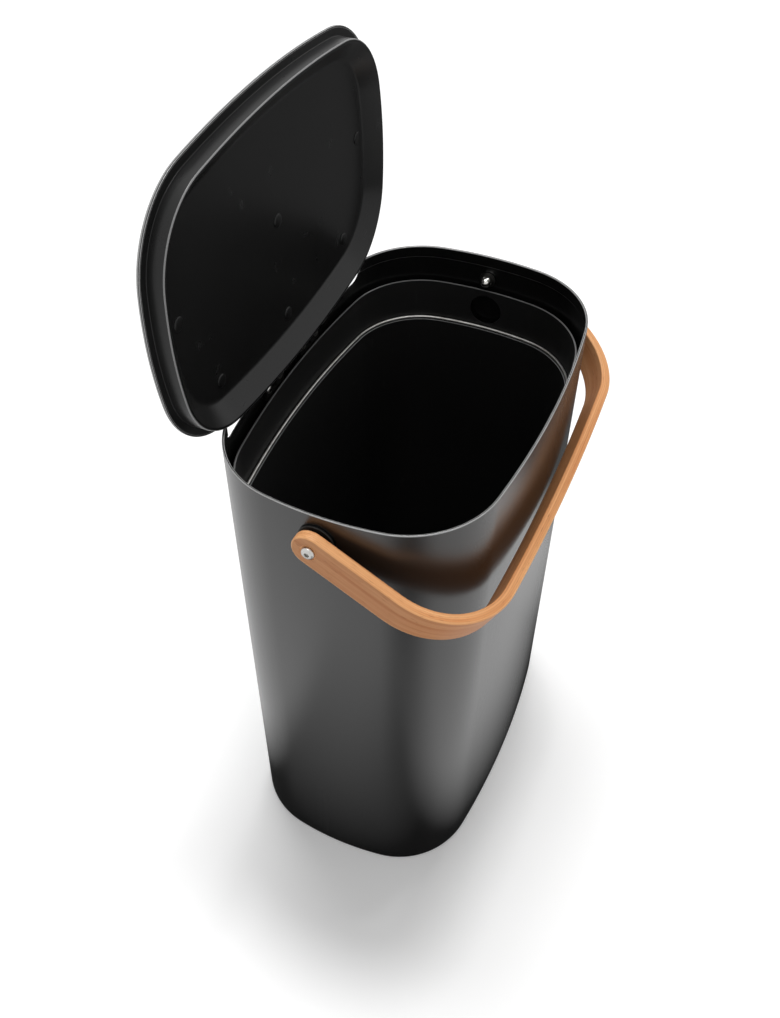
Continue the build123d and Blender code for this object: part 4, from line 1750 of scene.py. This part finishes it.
@dataclass(frozen=True)
class Studio:
    """White floor, soft light and the camera.

    Places are in metres and the camera's angles in radians. A lamp is its name, the direction of
    its light's source, its spread in degrees and its strength.
    """

    camera_place: Sequence[float] = (-0.5036, -0.2009, 0.8400)
    camera_yaw: float = 1.161
    camera_pitch: float = -0.813
    camera_roll: float = 0.008
    focal_pixels: float = 1058.9
    image_height: float = 1018.0
    sensor: float = 36.0
    ambient: float = 0.30
    lamps: Sequence[tuple[str, Corner, float, float]] = (
        ("overhead", (0.0, 0.0, 1.0), 40.0, 0.40),
        ("right", (0.31, 0.0, 1.3), 11.0, 1.15),
        ("right_back", (0.36, 0.28, 1.3), 18.0, 0.75),
    )
    floor_size: float = 40.0
    view_end: float = 100.0

    def camera(self) -> None:
        """Set the camera where the photograph was taken."""
        made = placed("camera", bpy.data.cameras.new("camera"))
        made.data.sensor_width = self.sensor
        made.data.lens = self.focal_pixels / self.image_height * self.sensor
        made.data.clip_end = self.view_end
        yaw, pitch, roll = self.camera_yaw, self.camera_pitch, self.camera_roll
        level = math.cos(pitch)
        ahead = Vector((math.sin(yaw) * level, math.cos(yaw) * level, math.sin(pitch)))
        right = ahead.cross(Vector((0.0, 0.0, 1.0))).normalized()
        up = right.cross(ahead)
        turned_right = right * math.cos(roll) + up * math.sin(roll)
        turned_up = up * math.cos(roll) - right * math.sin(roll)
        basis = Matrix((turned_right, turned_up, -ahead)).transposed().to_4x4()
        made.matrix_world = Matrix.Translation(Vector(self.camera_place)) @ basis
        bpy.context.scene.camera = made

    def world(self) -> None:
        """Even white surroundings, seen as plain white by the camera and in reflections."""
        world = bpy.data.worlds.new("studio_white")
        world.use_nodes = True
        world.node_tree.nodes.clear()
        bench = Bench(world.node_tree)
        camera, glossy, clear = bench.rays("Camera", "Glossy", "Transmission")
        seen = camera.math("MAXIMUM", glossy).math("MAXIMUM", clear)
        glow = bench.read("ShaderNodeBackground", None,
                          {"Color": grey(1.0),
                           "Strength": seen * (1.0 - self.ambient) + self.ambient})
        bench.add("ShaderNodeOutputWorld", None, {"Surface": glow})
        bpy.context.scene.world = world

    def floor(self) -> None:
        """White floor that keeps the shadow."""
        half = self.floor_size / 2 / MM
        corners = [(-half, -half, 0.0), (half, -half, 0.0), (half, half, 0.0), (-half, half, 0.0)]
        made = mesh_of("studio_floor", np.array(corners), [(0, 1, 2, 3)])
        made.data.materials.append(StudioFloor().material())

    def lights(self) -> None:
        """Broad soft lamps, far off and high up."""
        for name, direction, spread, strength in self.lamps:
            light = bpy.data.lights.new(name, "SUN")
            light.angle = math.radians(spread)
            light.energy = strength
            aim = Vector(direction).to_track_quat("Z", "Y")
            placed(name, light).rotation_euler = aim.to_euler()

    def build(self) -> None:
        """Set up the whole studio."""
        self.camera()
        self.world()
        self.floor()
        self.lights()
        bpy.context.scene.view_settings.view_transform = "Standard"


def main() -> None:
    """Build the bin piece by piece, then the studio."""
    logging.basicConfig(level=logging.INFO, format="%(name)s: %(message)s")
    finishes = Finishes.mixed()
    lathe = LatheTree()
    pivots = Pivots(finishes, lathe)
    fixing = HingeFixing(finishes, lathe)
    Sleeve(finishes).build(pivots.point, fixing.places())
    Bucket(finishes).build()
    Lid(finishes, lathe).build()
    fixing.build()
    pivots.build()
    Handle(finishes, lathe, pivots).build()
    Studio().build()


if __name__ == "__main__":
    main()
